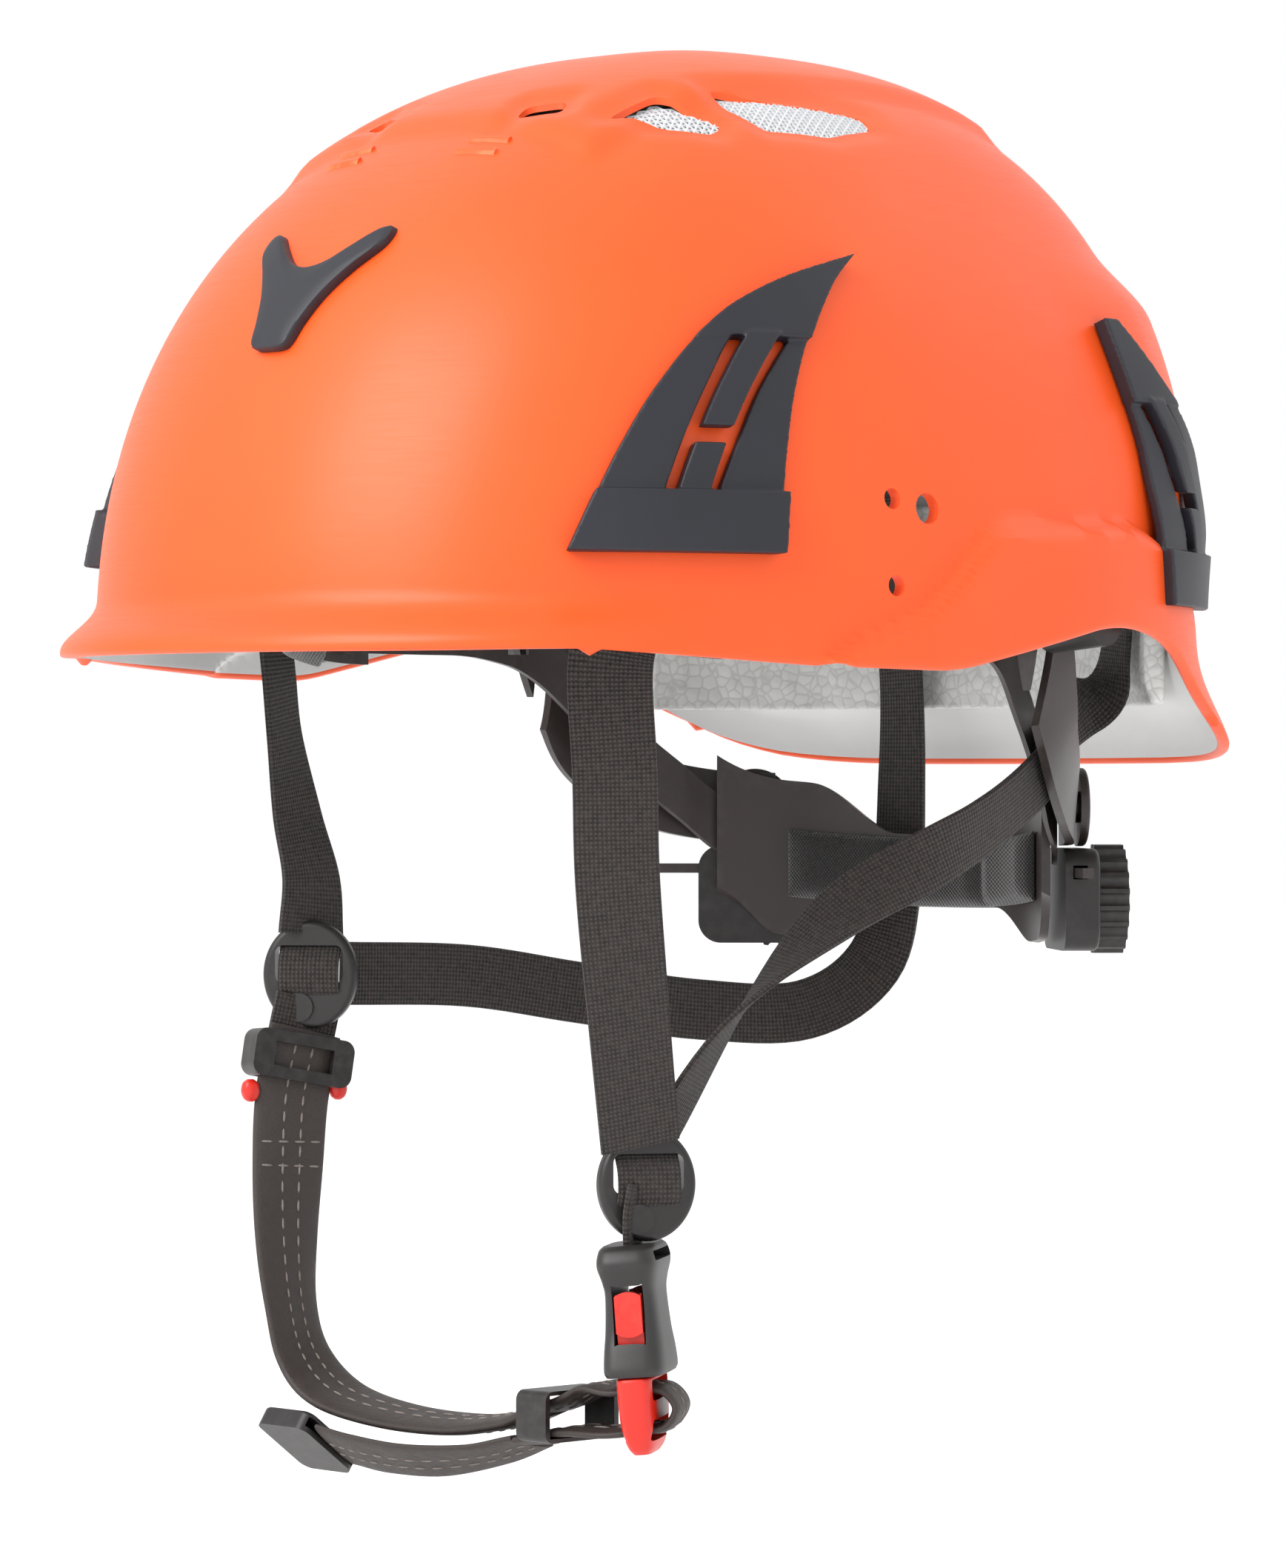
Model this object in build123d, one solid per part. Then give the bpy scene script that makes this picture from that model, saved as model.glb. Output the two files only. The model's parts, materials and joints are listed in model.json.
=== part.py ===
from build123d import *
import os
from math import acos, atan2, cos, pi, radians, sin, sqrt

# All sizes in millimetres. +Z up, the helmet's front faces -Y, the wearer's left is +X.
# The origin is the centre of the head opening, in the plane of the side rim.
HALF_W = 112.0
FRONT_L = 158.4
REAR_L = 121.6
Y_MID = 13.0
CROWN_H = 148.2
WALL = 3.0
EXP_PLAN = 2.47
EXP_SIDE = 2.40
EXP_FRONT = 2.10
EXP_REAR = 2.69
Z_SKIRT = 26.0
RIM_Y = [-150.0, -112.0, -50.0, -14.0, 6.0, 30.0, 42.0, 56.0, 70.0, 84.0, 96.0, 112.0, 124.0, 160.0]
RIM_Z = [0.0, -1.0, -3.5, -4.0, 0.0, 5.0, 7.5, 7.0, 4.0, -2.0, -10.0, -21.0, -25.0, -26.0]
FRONT_BRIM = 9.0
REAR_BRIM = 15.0
EAR_RAISE = 3.6
CROWN_RAISE = 2.6
CLIP_PROUD = 4.4
WEB_W = 20.0
WEB_T = 1.8
BAND_X = 82.0
BAND_FRONT = 112.0
BAND_REAR = 106.0
BAND_Y = 8.0
TILT_Y = -33.0
TILT_Z = 9.0
PEG_R = 81.6
PEG_TURN = -1.0
ARM_W = 18.8
ARM_SLOT_W = 6.2
KNOB_R = 14.0
TOOTH_PITCH = pi
PINION_TEETH = 9
PITCH_R = TOOTH_PITCH * PINION_TEETH / (2 * pi)


def lerp(values, places, x):
    """Piecewise-linear table value, with smoothed corners."""
    total = 0.0
    for shift in (-6.0, -3.0, 0.0, 3.0, 6.0):
        total += lerp_at(values, places, x + shift)
    return total / 5.0


def lerp_at(values, places, x):
    if x <= places[0]:
        return values[0]
    for i in range(len(places) - 1):
        if x <= places[i + 1]:
            k = (x - places[i]) / (places[i + 1] - places[i])
            return values[i] + k * (values[i + 1] - values[i])
    return values[-1]


def ease(x):
    x = min(1.0, max(0.0, x))
    return x * x * (3.0 - 2.0 * x)


def spow(value, power):
    if value < 0:
        return -((-value) ** power)
    return value ** power


def dome_exp(theta):
    end = EXP_FRONT if sin(theta) < 0 else EXP_REAR
    return EXP_SIDE + (end - EXP_SIDE) * sin(theta) ** 2


def dome_at(theta, z, off=0.0):
    """Point of the bare dome at bearing theta and height z, moved in or out by off."""
    m = dome_exp(theta)
    height = CROWN_H + off
    r = (1.0 - (max(0.0, z) / height) ** m) ** (1.0 / m) if z < height else 0.0
    length = FRONT_L if sin(theta) < 0 else REAR_L
    x = (HALF_W + off) * spow(cos(theta), 2.0 / EXP_PLAN) * r
    y = (length + off) * spow(sin(theta), 2.0 / EXP_PLAN) * r + Y_MID
    return x, y


def theta_at(y, z, off=0.0):
    """Bearing on the wearer's left where the dome at height z reaches y."""
    low = -pi / 2
    high = pi / 2
    for _ in range(40):
        mid = (low + high) / 2
        if dome_at(mid, z, off)[1] < y:
            low = mid
        else:
            high = mid
    return (low + high) / 2


def side_point(y, z, off):
    """Point on the left side of the dome at y and z, off outside the surface."""
    x0, y0 = dome_at(theta_at(y, z), z)
    xa, ya = dome_at(theta_at(y + 1.0, z), z)
    xb, yb = dome_at(theta_at(y, z + 1.0), z + 1.0)
    n = Vector(xa - x0, ya - y0, 0).cross(Vector(xb - x0, yb - y0, 1.0))
    n = n.normalized()
    if n.X < 0:
        n = n * -1
    return Vector(x0, y0, z) + n * off


def crown_point(x, y, off):
    """Point on top of the dome above x, y."""
    low = 0.0
    high = CROWN_H + off
    for _ in range(40):
        z = (low + high) / 2
        theta = crown_bearing(x, y, off)
        px, py = dome_at(theta, z, off)
        if px * px + (py - Y_MID) ** 2 > x * x + (y - Y_MID) ** 2:
            low = z
        else:
            high = z
    return Vector(x, y, (low + high) / 2)


def crown_bearing(x, y, off):
    """Bearing whose plan ray passes through x, y."""
    length = (FRONT_L if y < Y_MID else REAR_L) + off
    a = abs(x) / (HALF_W + off)
    b = abs(y - Y_MID) / length
    theta = atan2(b ** (EXP_PLAN / 2), a ** (EXP_PLAN / 2))
    if x < 0:
        theta = pi - theta
    if y < Y_MID:
        theta = -theta
    return theta


def ear_line(y):
    """Height of the top of the raised ear panel at y."""
    return lerp([-14.0, 2.0, 9.0, 20.0, 31.0, 33.0, 26.0, 12.0, -10.0],
                [-70.0, -46.0, -24.0, -11.0, 0.0, 57.0, 76.0, 96.0, 112.0], y)


def shell_point(theta, z, off):
    """Shell surface with crown panel, ear panels and brims; off is the offset inwards (negative)."""
    x, y = dome_at(theta, z, off)
    s = sin(theta)
    out = EAR_RAISE * ease((ear_line(y) - z) / 7.0) * ease((abs(cos(theta)) - 0.15) / 0.3)
    if s < 0:
        out += FRONT_BRIM * ease((-s - 0.35) / 0.5) * ease((13.0 - z) / 13.0) ** 1.3
    else:
        out += REAR_BRIM * ease((s - 0.45) / 0.5) * ease((4.0 - z) / 30.0)
    r = sqrt(x * x + (y - Y_MID) ** 2) + 1e-9
    top = CROWN_RAISE * ease((56.0 - abs(x)) / 8.0) * ease((y + 78.0) / 12.0) * ease((74.0 - y) / 12.0)
    top *= ease((z - 100.0) / 15.0)
    return Vector(x + out * x / r, y + out * (y - Y_MID) / r, z + top)


def disc_map(u, v):
    """Square (0..1, 0..1) to bearing and radius on the unit disc."""
    a = 2 * u - 1
    b = 2 * v - 1
    x = a * sqrt(1 - b * b / 2)
    y = b * sqrt(1 - a * a / 2)
    return atan2(y, x), min(1.0, sqrt(x * x + y * y))


def dome_height(theta, q, rim, off):
    """Height for a fraction q of the way from crown to rim."""
    m = dome_exp(theta)
    knee = max(Z_SKIRT, rim)
    span = 0.84 if rim < knee else 1.0
    t_knee = acos((knee / (CROWN_H + off)) ** (m / 2))
    if q <= span:
        return (CROWN_H + off) * cos(q / span * t_knee) ** (2 / m)
    return knee + (q - span) / (1 - span) * (rim - knee)


def rim_height(theta):
    y = dome_at(theta, 0.0)[1]
    return lerp(RIM_Z, RIM_Y, y)


def shell_surface(off):
    def point(u, v):
        theta, q = disc_map(u, v)
        return shell_point(theta, dome_height(theta, q, rim_height(theta), off), off)
    return point


def dome_surface(off, rim):
    def point(u, v):
        theta, q = disc_map(u, v)
        z = dome_height(theta, q, rim, off)
        x, y = dome_at(theta, z, off)
        return Vector(x, y, z)
    return point


def patch(point, nu, nv):
    rows = []
    for i in range(nu):
        rows.append([point(i / (nu - 1), j / (nv - 1)) for j in range(nv)])
    try:
        return Face.make_surface_from_array_of_points(rows, tol=0.05, smoothing=(1, 1, 1), max_deg=5)
    except ValueError:
        return Face.make_surface_from_array_of_points(rows, tol=0.05, smoothing=(1, 1, 1), max_deg=8)


def skin(outer, inner, nu, nv):
    """Closed solid between two surfaces given as point functions of u and v."""
    face_a = patch(outer, nu, nv)
    face_b = patch(inner, nu, nv)
    faces = [face_a, face_b]
    for edge in face_a.edges():
        mate = min(face_b.edges(), key=lambda e: (e @ 0.5 - edge @ 0.5).length)
        if (edge @ 0 - mate @ 0).length > (edge @ 0 - mate @ 1).length:
            mate = mate.reversed()
        faces.append(Face.make_surface_from_curves(edge, mate))
    solid = Solid(Shell(faces))
    return solid if solid.volume > 0 else Solid(solid.wrapped.Reversed())


def smooth_at(values, k):
    """Catmull-Rom value of a list of vectors at k from 0 to 1."""
    n = len(values) - 1
    t = min(n - 1e-6, max(0.0, k * n))
    i = int(t)
    f = t - i
    b = values[i]
    c = values[i + 1]
    a = values[i - 1] if i > 0 else b * 2 - c
    d = values[i + 2] if i + 2 <= n else c * 2 - b
    slope_b = (c - a) * 0.5
    slope_c = (d - b) * 0.5
    one = b * (2 * f**3 - 3 * f**2 + 1) + slope_b * (f**3 - 2 * f**2 + f)
    return one + c * (3 * f**2 - 2 * f**3) + slope_c * (f**3 - f**2)


def strap(path, wide, width, thick):
    """Webbing along path; wide gives the direction of its width at each station."""
    spots = [Vector(*p) for p in path]
    turns = [Vector(*w).normalized() for w in wide]

    def side(sign):
        def point(u, v):
            d = (smooth_at(spots, v + 0.01) - smooth_at(spots, v - 0.01)).normalized()
            w = smooth_at(turns, v)
            w = (w - d * w.dot(d)).normalized()
            return smooth_at(spots, v) + w * ((u - 0.5) * width) + d.cross(w) * (sign * thick / 2)
        return point
    return skin(side(1), side(-1), 6, 5 * len(path) + 1)


def band_point(phi, z, off):
    end = BAND_FRONT if sin(phi) < 0 else BAND_REAR
    return Vector((BAND_X + off) * cos(phi), BAND_Y + (end + off) * sin(phi), z)


def band_z(y):
    return lerp([14.0, 13.0, 10.0, 9.0, 9.0, 5.0, -24.0, -46.0, -50.0],
                [-110.0, -80.0, -50.0, -33.0, 20.0, 38.0, 66.0, 90.0, 116.0], y)


def band(start, end, low, high, off, thick):
    """Strip of the head ring between two bearings; low, high and off are functions of the bearing."""
    def side(extra):
        def point(u, v):
            deg = start + (end - start) * v
            base = band_point(radians(deg), 0, off(deg) + extra)
            z = band_z(base.Y) + low(deg) + (high(deg) - low(deg)) * u
            return Vector(base.X, base.Y, z)
        return point
    return skin(side(thick), side(0.0), 7, 41)


def flat(value):
    return lambda deg: value


def mirrored(solid):
    return mirror(solid, about=Plane.YZ)


# ---------------------------------------------------------------- shell

VENTS = [
    [(24, -72), (34, -66), (31, -61), (22, -66)],
    [(46, -63), (62, -43), (60, -38), (46, -47)],
    [(50, -33), (65, -28), (69, -10), (66, 9), (61, 10), (56, -12)],
]
BOLT_R = 2.5
BOLT_Y = -31.0
BOLT_Z = 24.8
BOLT_GAP = 20.5
SOCKET_R = 3.7
SOCKET_Y = -20.0
SOCKET_Z = 33.0
SOCKET_TILT = 4.0


def vent_tool(outline, grow):
    flat_face = Polygon(*outline, align=None)
    cut = extrude(Pos(0, 0, 60) * offset(flat_face, grow), 120)
    return cut


def make_shell():
    body = skin(shell_surface(0.0), shell_surface(-WALL), 41, 41)
    for outline in VENTS:
        cut = vent_tool(outline, 2.0)
        body -= cut
        body -= mirrored(cut)
    for side in (-1, 1):
        for z in (BOLT_Z - BOLT_GAP / 2, BOLT_Z + BOLT_GAP / 2):
            body -= Pos(side * HALF_W, BOLT_Y, z) * Rot(0, 90, 0) * Cylinder(BOLT_R, 30)
        aim = Rot(0, 90 - side * SOCKET_TILT, 0)
        body -= Pos(side * HALF_W, SOCKET_Y, SOCKET_Z) * aim * Cylinder(SOCKET_R, 30)
        body -= Pos(side * 98, 74, 42) * Box(30, 2.2, 11)
    return body


REAR_FOAM_ANGLES = (38.0, 142.0)
REAR_FOAM_Z = (-12.0, 42.0)


def make_liner():
    return skin(dome_surface(-WALL - 1.9, 60.0), dome_surface(-WALL - 17.0, 60.0), 25, 25)


def make_rear_foam():
    """Foam panel inside the back of the shell, below the liner."""
    first, last = REAR_FOAM_ANGLES
    low, high = REAR_FOAM_Z

    def side(off):
        def point(u, v):
            z = low + (high - low) * v
            x, y = dome_at(radians(first + (last - first) * u), z, off)
            return Vector(x, y, z)
        return point
    return skin(side(-WALL - 0.5), side(-WALL - 5.5), 19, 13)


def make_crown_pad():
    def side(off):
        def point(u, v):
            return crown_point(-34 + 68 * u, -52 + 116 * v, off)
        return point
    pad = skin(side(-WALL - 17.5), side(-WALL - 22.0), 9, 13)
    for y in (-28, 6, 40):
        pad -= Pos(0, y, 120) * Box(26, 9, 60)
    return pad


def make_vent_mesh():
    def side(off):
        def point(u, v):
            return crown_point(16 + 56 * u, -78 + 96 * v, off)
        return point
    return skin(side(-WALL - 0.4), side(-WALL - 1.5), 11, 15)


# ---------------------------------------------------------------- headlamp clips and badge

CLIP_H = [0.0, 0.2, 0.53, 0.75, 1.0]
FRONT_CLIP_Z = (21.0, 91.5)
REAR_CLIP_Z = (12.0, 81.0)
FRONT_CLIP_BOW = [-107.0, -103.0, -91.0, -72.0, -36.0]
FRONT_CLIP_BACK = [-63.0, -61.0, -56.0, -47.0, -30.0]
REAR_CLIP_BOW = [108.0, 104.0, 92.0, 76.0, 59.0]
REAR_CLIP_BACK = [68.0, 66.0, 62.0, 58.0, 54.0]


def clip_spot(h, k, rear):
    """Height and length position on a clip for a fraction h of its height and k of its width."""
    low, high = REAR_CLIP_Z if rear else FRONT_CLIP_Z
    y0 = lerp_at(REAR_CLIP_BOW if rear else FRONT_CLIP_BOW, CLIP_H, h)
    y1 = lerp_at(REAR_CLIP_BACK if rear else FRONT_CLIP_BACK, CLIP_H, h)
    return y0 + (y1 - y0) * k, low + (high - low) * h


def clip_sheet(h0, h1, k0, k1, off0, off1, rear):
    """Plate on the shell's side between two heights and two fractions of the clip's width."""
    def side(off):
        def point(u, v):
            h = h0 + (h1 - h0) * v
            lift = 4.0 * ease((0.5 - h) / 0.25) if rear else 0.0
            y, z = clip_spot(h, k0 + (k1 - k0) * u, rear)
            return side_point(y, z, off + lift)
        return point
    return skin(side(off1), side(off0), 15, 15)


def clip_window(corners, rear):
    outline = Polygon(*[clip_spot(h, k, rear) for h, k in corners], align=None)
    return extrude(Plane(origin=(60, 0, 0), x_dir=(0, 1, 0), z_dir=(1, 0, 0)) * outline, 70)


def make_clip(rear):
    body = clip_sheet(0.0, 1.0, 0.0, 1.0, 0.4, CLIP_PROUD, rear)
    body += clip_sheet(0.01, 0.2, 0.01, 0.99, 2.5, CLIP_PROUD + 0.9, rear)
    body -= clip_window([(0.22, 0.28), (0.22, 0.42), (0.70, 0.42), (0.70, 0.28)], rear)
    body -= clip_window([(0.22, 0.68), (0.22, 0.80), (0.72, 0.80), (0.72, 0.68)], rear)
    body -= clip_window([(0.37, 0.40), (0.37, 0.70), (0.42, 0.70), (0.42, 0.40)], rear)
    return body


def make_badge():
    """Generic three-lobed plate on the brow, with no mark on it."""
    lobes = Pos(0, 76) * Circle(6.5)
    for x in (-13, 13):
        lobes += Pos(x, 90) * Circle(6.5)
        lobes += Polygon((-4, 74), (4, 76), (x + 5, 90), (x - 5, 93), align=None)
    block = extrude(Plane(origin=(0, -160, 0), x_dir=(1, 0, 0), z_dir=(0, -1, 0)) * lobes, -80)

    def side(off):
        def point(u, v):
            x = -24 + 48 * u
            z = 62 + 44 * v
            low = -pi / 2
            high = 0.0
            for _ in range(40):
                mid = (low + high) / 2
                if dome_at(mid, z)[0] < abs(x):
                    low = mid
                else:
                    high = mid
            px, py = dome_at((low + high) / 2, z)
            return Vector(x, py - off * 0.93, z + off * 0.3)
        return point
    return skin(side(2.4), side(0.35), 13, 13) & block


# ---------------------------------------------------------------- head ring

def side_off(deg):
    """Offset of the side band: it tucks in where the rear strap passes outside it."""
    tuck = ease((deg - 14.0) / 10.0) * ease((46.0 - deg) / 6.0)
    return 3.2 - 1.1 * ease((deg + 12.0) / 22.0) - 1.5 * tuck


def temple_cylinder(x0, x1, r):
    return Pos((x0 + x1) / 2, TILT_Y, TILT_Z) * Rot(0, 90, 0) * Cylinder(r, x1 - x0)


def make_headband():
    body = band(-164, -16, flat(-10.5), flat(10.5), flat(0.0), 1.6)
    for side in (False, True):
        boss = temple_cylinder(73.2, 76.2, 8.0)
        hole = temple_cylinder(70.0, 82.0, 4.0)
        body += mirrored(boss) if side else boss
        body -= mirrored(hole) if side else hole
    for deg in (-120, -105, -90, -75, -60):
        spot = band_point(radians(deg), band_z(band_point(radians(deg), 0, 0).Y) + 5.5, 0.8)
        cut = Rot(0, 0, deg) * Box(8, 9, 2.4)
        body -= Pos(spot.X, spot.Y, spot.Z) * cut
    return body


def make_brow_pad():
    return band(-150, -30, flat(-12.5), flat(13.0), flat(-5.2), 4.8)


def make_side_band():
    body = band(-28, 50, flat(-7.5), flat(7.5), side_off, 1.4)
    body += temple_cylinder(81.2, 84.6, 9.0) + temple_cylinder(79.7, 81.3, 6.0)
    body -= temple_cylinder(70.0, 90.0, 4.0)
    for deg in (-2, 6, 14):
        base = band_point(radians(deg), 0, 3.0)
        body -= Pos(base.X, base.Y, band_z(base.Y)) * Rot(0, 0, deg) * Box(12, 6.5, 7)
    return body


def make_temple_disc():
    body = temple_cylinder(84.9, 87.2, 9.9)
    body += temple_cylinder(73.0, 85.0, 3.95)
    body += temple_cylinder(71.4, 73.1, 6.0)
    body = fillet(body.edges().filter_by(GeomType.CIRCLE).sort_by(Axis.X)[-1:], 0.9)
    body -= temple_cylinder(86.4, 88.0, 4.6) - temple_cylinder(86.4, 88.0, 3.4)
    return body


def cradle_low(deg):
    return -15.0 - 10.0 * ease((abs(deg - 90) - 12) / 16) + 6.0 * ease((abs(deg - 90) - 34) / 8)


def cradle_high(deg):
    return 4.0 + 12.0 * ease((abs(deg - 90) - 12) / 16)


def make_cradle():
    body = band(46, 134, cradle_low, cradle_high, flat(-0.5), 2.2)
    for deg in (76, 90, 104):
        base = band_point(radians(deg), 0, 0.5)
        body -= Pos(base.X, base.Y, band_z(base.Y) - 5) * Rot(0, 0, deg) * Box(12, 13, 5)
    return body


def make_nape_pad():
    return band(58, 122, flat(-15.0), flat(3.0), flat(-5.0), 4.2)


# ---------------------------------------------------------------- ratchet

HOUSE_DEG = 55.0
HOUSE_Z = -61.5


def house_plane():
    spot = band_point(radians(HOUSE_DEG), HOUSE_Z, 3.7)
    n = Vector(cos(radians(48.5)), sin(radians(48.5)), 0)
    return Plane(origin=spot, x_dir=(-n.Y, n.X, 0), z_dir=n)


def make_housing():
    body = fillet((Pos(0, 0, 4.5) * Box(40, 26, 9)).edges().filter_by(Axis.Z), 6)
    body = fillet(body.faces().sort_by(Axis.Z)[-1].edges(), 1.5)
    body -= Pos(0, 0, 4.6) * Box(36, 17.4, 5.4)
    body -= Pos(-18, 7.0, 3.75) * Box(12, 3.5, 3.7)
    body -= Pos(0, 0, 8) * Cylinder(3.05, 6)
    return house_plane() * body


def make_knob():
    body = Pos(0, 0, 13.5) * Cylinder(KNOB_R, 7.6)
    for i in range(20):
        body -= Rot(0, 0, 18 * i) * Pos(KNOB_R + 0.9, 0, 13.5) * Cylinder(1.9, 9)
    body -= Pos(0, 0, 16.8) * (Cylinder(9.5, 2.4) - Cylinder(6.5, 2.4))
    body += Pos(0, 0, 7.45) * Cylinder(3.0, 4.7)
    body += Pos(0, 0, 3.7) * Box(3.0, 3.0, 3.0)
    return house_plane() * body


def tooth(tip_w, root_w, y0, y1):
    return Polygon((-root_w / 2, y0), (root_w / 2, y0), (tip_w / 2, y1), (-tip_w / 2, y1), align=None)


def make_pinion():
    gear = Circle(PITCH_R - 1.1)
    for i in range(PINION_TEETH):
        gear += Rot(0, 0, 360 * i / PINION_TEETH) * tooth(0.7, 1.8, PITCH_R - 1.5, PITCH_R + 0.75)
    gear -= Rectangle(3.0, 3.0)
    return house_plane() * extrude(Pos(0, 0, 2.2) * gear, 2.9)


def make_rack():
    bar = Pos(-11.5, PITCH_R + 2.4) * Rectangle(45, 2.5)
    for i in range(-3, 4):
        x = (i - 0.5) * TOOTH_PITCH
        bar += Pos(x, 0) * Rot(0, 0, 180) * tooth(0.7, 1.8, -PITCH_R - 1.3, -PITCH_R + 0.75)
    return house_plane() * extrude(Pos(0, 0, 2.2) * bar, 2.9)


# ---------------------------------------------------------------- nape arms

SNAP = Vector(54.6, 96.4, -38.0)


def make_arm():
    path = [(88, 43, 32), (87.6, 46, 14), (87, 50, 0), (85, 55, -12), (82, 61.5, -24),
            (74, 74, -33.5), (64, 87, -37.5), (50.5, 99.5, -38.5)]
    wide = [(0, 1, 0), (0, 1, 0.1), (0, 1, 0.2), (-0.1, 1, 0.4), (-0.2, 0.8, 0.7),
            (-0.1, 0.4, 1), (0, 0.1, 1), (0, 0, 1)]
    body = strap(path, wide, ARM_W, 2.4)
    arc = CenterArc((0, 0), PEG_R, PEG_TURN - 17.0, 26.0)
    slot = SlotArc(arc, ARM_SLOT_W)
    plane = Plane(origin=(60, TILT_Y, TILT_Z), x_dir=(0, 1, 0), z_dir=(1, 0, 0))
    body -= extrude(plane * slot, 50)
    body -= snap_plane() * Cylinder(4.05, 12)
    return body


def snap_plane():
    n = Vector(cos(radians(48.5)), sin(radians(48.5)), 0)
    return Plane(origin=SNAP, x_dir=(-n.Y, n.X, 0), z_dir=n)


def make_snap_disc():
    body = Pos(0, 0, 3.4) * Cylinder(10.0, 2.4)
    body = fillet(body.edges().filter_by(GeomType.CIRCLE).sort_by(Axis.Z)[-1:], 1.0)
    body -= Pos(2.5, -2, 4.2) * Box(8, 3.2, 1.6)
    body += Pos(0, 0, -1.2) * Cylinder(4.0, 7.0)
    return snap_plane() * body


def peg_spot():
    return TILT_Y + PEG_R * cos(radians(PEG_TURN)), TILT_Z + PEG_R * sin(radians(PEG_TURN))


def make_peg():
    y, z = peg_spot()
    wall = side_point(y, z, -WALL).X + 0.6
    body = Pos((90.4 + wall) / 2, y, z) * Rot(0, 90, 0) * Cone(7.5, 6.0, wall - 90.4)
    body += Pos(88, y, z) * Rot(0, 90, 0) * Cylinder(2.6, 6.0)
    body += Pos(84.6, y, z) * Rot(0, 90, 0) * Cylinder(5.0, 1.6)
    return body


# ---------------------------------------------------------------- harness webbing

LEFT_DIVIDER = (54.0, -58.0, -127.4)
RIGHT_DIVIDER = (-66.0, -55.0, -80.0)


def make_front_strap_left():
    path = [(84, -72, 56), (81, -77, 34), (75, -85, 10), (72, -88.5, -4), (69, -84, -30),
            (66, -80, -55), (62, -72, -88), (57, -63, -118)]
    wide = [(0.3, 0.95, 0), (0.5, 0.86, 0), (0.7, 0.7, 0), (0.72, 0.69, 0), (0.72, 0.69, 0),
            (0.68, 0.73, 0), (0.5, 0.87, 0), (0.4, 0.9, 0)]
    return strap(path, wide, WEB_W, WEB_T)


def make_front_strap_right():
    path = [(-84, -64, 56), (-79, -63, 34), (-73.5, -61.5, 10), (-72, -60.5, -4), (-72, -58.5, -20),
            (-70.5, -55.5, -40), (-67.5, -53.5, -56), (-66.5, -54.5, -70)]
    wide = [(-0.2, 0.98, 0), (-0.3, 0.95, 0), (-0.4, 0.92, 0), (-0.42, 0.91, 0), (-0.4, 0.92, 0),
            (-0.2, 0.98, 0), (-0.05, 1, 0), (0.1, 1, 0)]
    return strap(path, wide, WEB_W, WEB_T)


def make_rear_strap_left():
    path = [(68, 98, 54), (67, 103, 34), (64, 105.5, 10), (62, 104, -6), (60, 95, -13.5),
            (64.6, 81.4, -20), (74.8, 66.2, -27), (80.5, 50, -34), (87.5, 26, -42.5), (88.5, 6, -50),
            (80, -18, -63), (68, -42, -88), (55.5, -56.5, -118)]
    wide = [(-0.8, 0.55, 0), (-0.8, 0.5, 0), (-0.85, 0.4, 0.1), (-0.6, 0.3, 0.6), (-0.1, 0.1, 1),
            (0, 0.1, 1), (0, 0.1, 1), (0, 0.2, 1), (0, 0.3, 1), (0, 0.4, 0.9),
            (-0.1, 0.6, 0.75), (-0.1, 0.8, 0.5), (-0.05, 0.98, 0.2)]
    body = strap(path, wide, 15.0, WEB_T)
    return body


def make_rear_strap_right():
    path = [(-26, 110, 56), (-25, 116, 34), (-24, 119, 12), (-23, 120, -8), (-23, 120, -30),
            (-24, 119, -58), (-28, 114, -80), (-37, 97, -92), (-48, 68, -91.5), (-59, 34, -86.5),
            (-66, 0, -81.5), (-67.5, -43, -80)]
    wide = [(1, -0.1, 0), (1, -0.1, 0), (1, -0.1, 0), (1, -0.1, 0), (1, 0, 0),
            (0.9, 0.1, -0.3), (0.5, 0.2, -0.8), (0.3, 0.1, -1), (0.1, 0, -1), (0, 0, -1),
            (0, 0, -1), (0, 0, -1)]
    return strap(path, wide, 16.0, WEB_T)


def make_anchor(x, y, turn):
    """Moulded block under the liner that holds a strap's top end."""
    block = Box(25, 5.6, 15)
    block = fillet(block.edges().filter_by(Axis.Z), 2.0)
    block -= Pos(0, 0, -6) * Box(20.6, 2.6, 15)
    return Pos(x, y, 51.5) * Rot(0, 0, turn) * block


def divider_plane(spot, turn, roll):
    w = Vector(cos(radians(turn)), sin(radians(turn)), 0)
    n = w.cross(Vector(0, 0, 1))
    plane = Plane(origin=spot, x_dir=w, z_dir=n)
    return plane.rotated((0, 0, roll))


def make_divider(spot, turn, roll):
    """Strap divider: an oval frame with a webbing window and a round boss at its foot."""
    outline = Ellipse(12.0, 13.6)
    window = Pos(0, 2.6) * RectangleRounded(17.4, 9.6, 2.2)
    body = extrude(outline, 2.4, both=True)
    body = fillet(body.edges(), 1.6)
    body -= extrude(window, 6, both=True)
    body += Pos(-2.5, -8.2, 0) * Cylinder(3.6, 6.2)
    return divider_plane(spot, turn, roll) * body


# ---------------------------------------------------------------- chin buckle

BUCKLE_W = Vector(0.559, -0.829, 0)
BUCKLE_AT = (50.0, -58.5, -141.6)


def buckle_plane():
    down = Vector(0.06, 0.04, -1).normalized()
    w = (BUCKLE_W - down * BUCKLE_W.dot(down)).normalized()
    return Plane(origin=BUCKLE_AT, x_dir=w, z_dir=down)


def make_buckle_body():
    body = Pos(0, 0, 15.5) * Box(30, 15, 31)
    body = fillet(body.edges().filter_by(Axis.Z), 4)
    for side in (-1, 1):
        body -= Pos(side * 17.6, 0, 15.5) * Rot(90, 0, 0) * Cylinder(5.4, 30)
        body -= Pos(side * 12, 0, 16) * Box(14, 7.6, 12.5)
    body -= Pos(0, 0, 19) * Box(25.4, 7.6, 28)
    body -= Pos(0, 0, 2.6) * Box(21, 20, 2.8)
    return buckle_plane() * body


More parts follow.
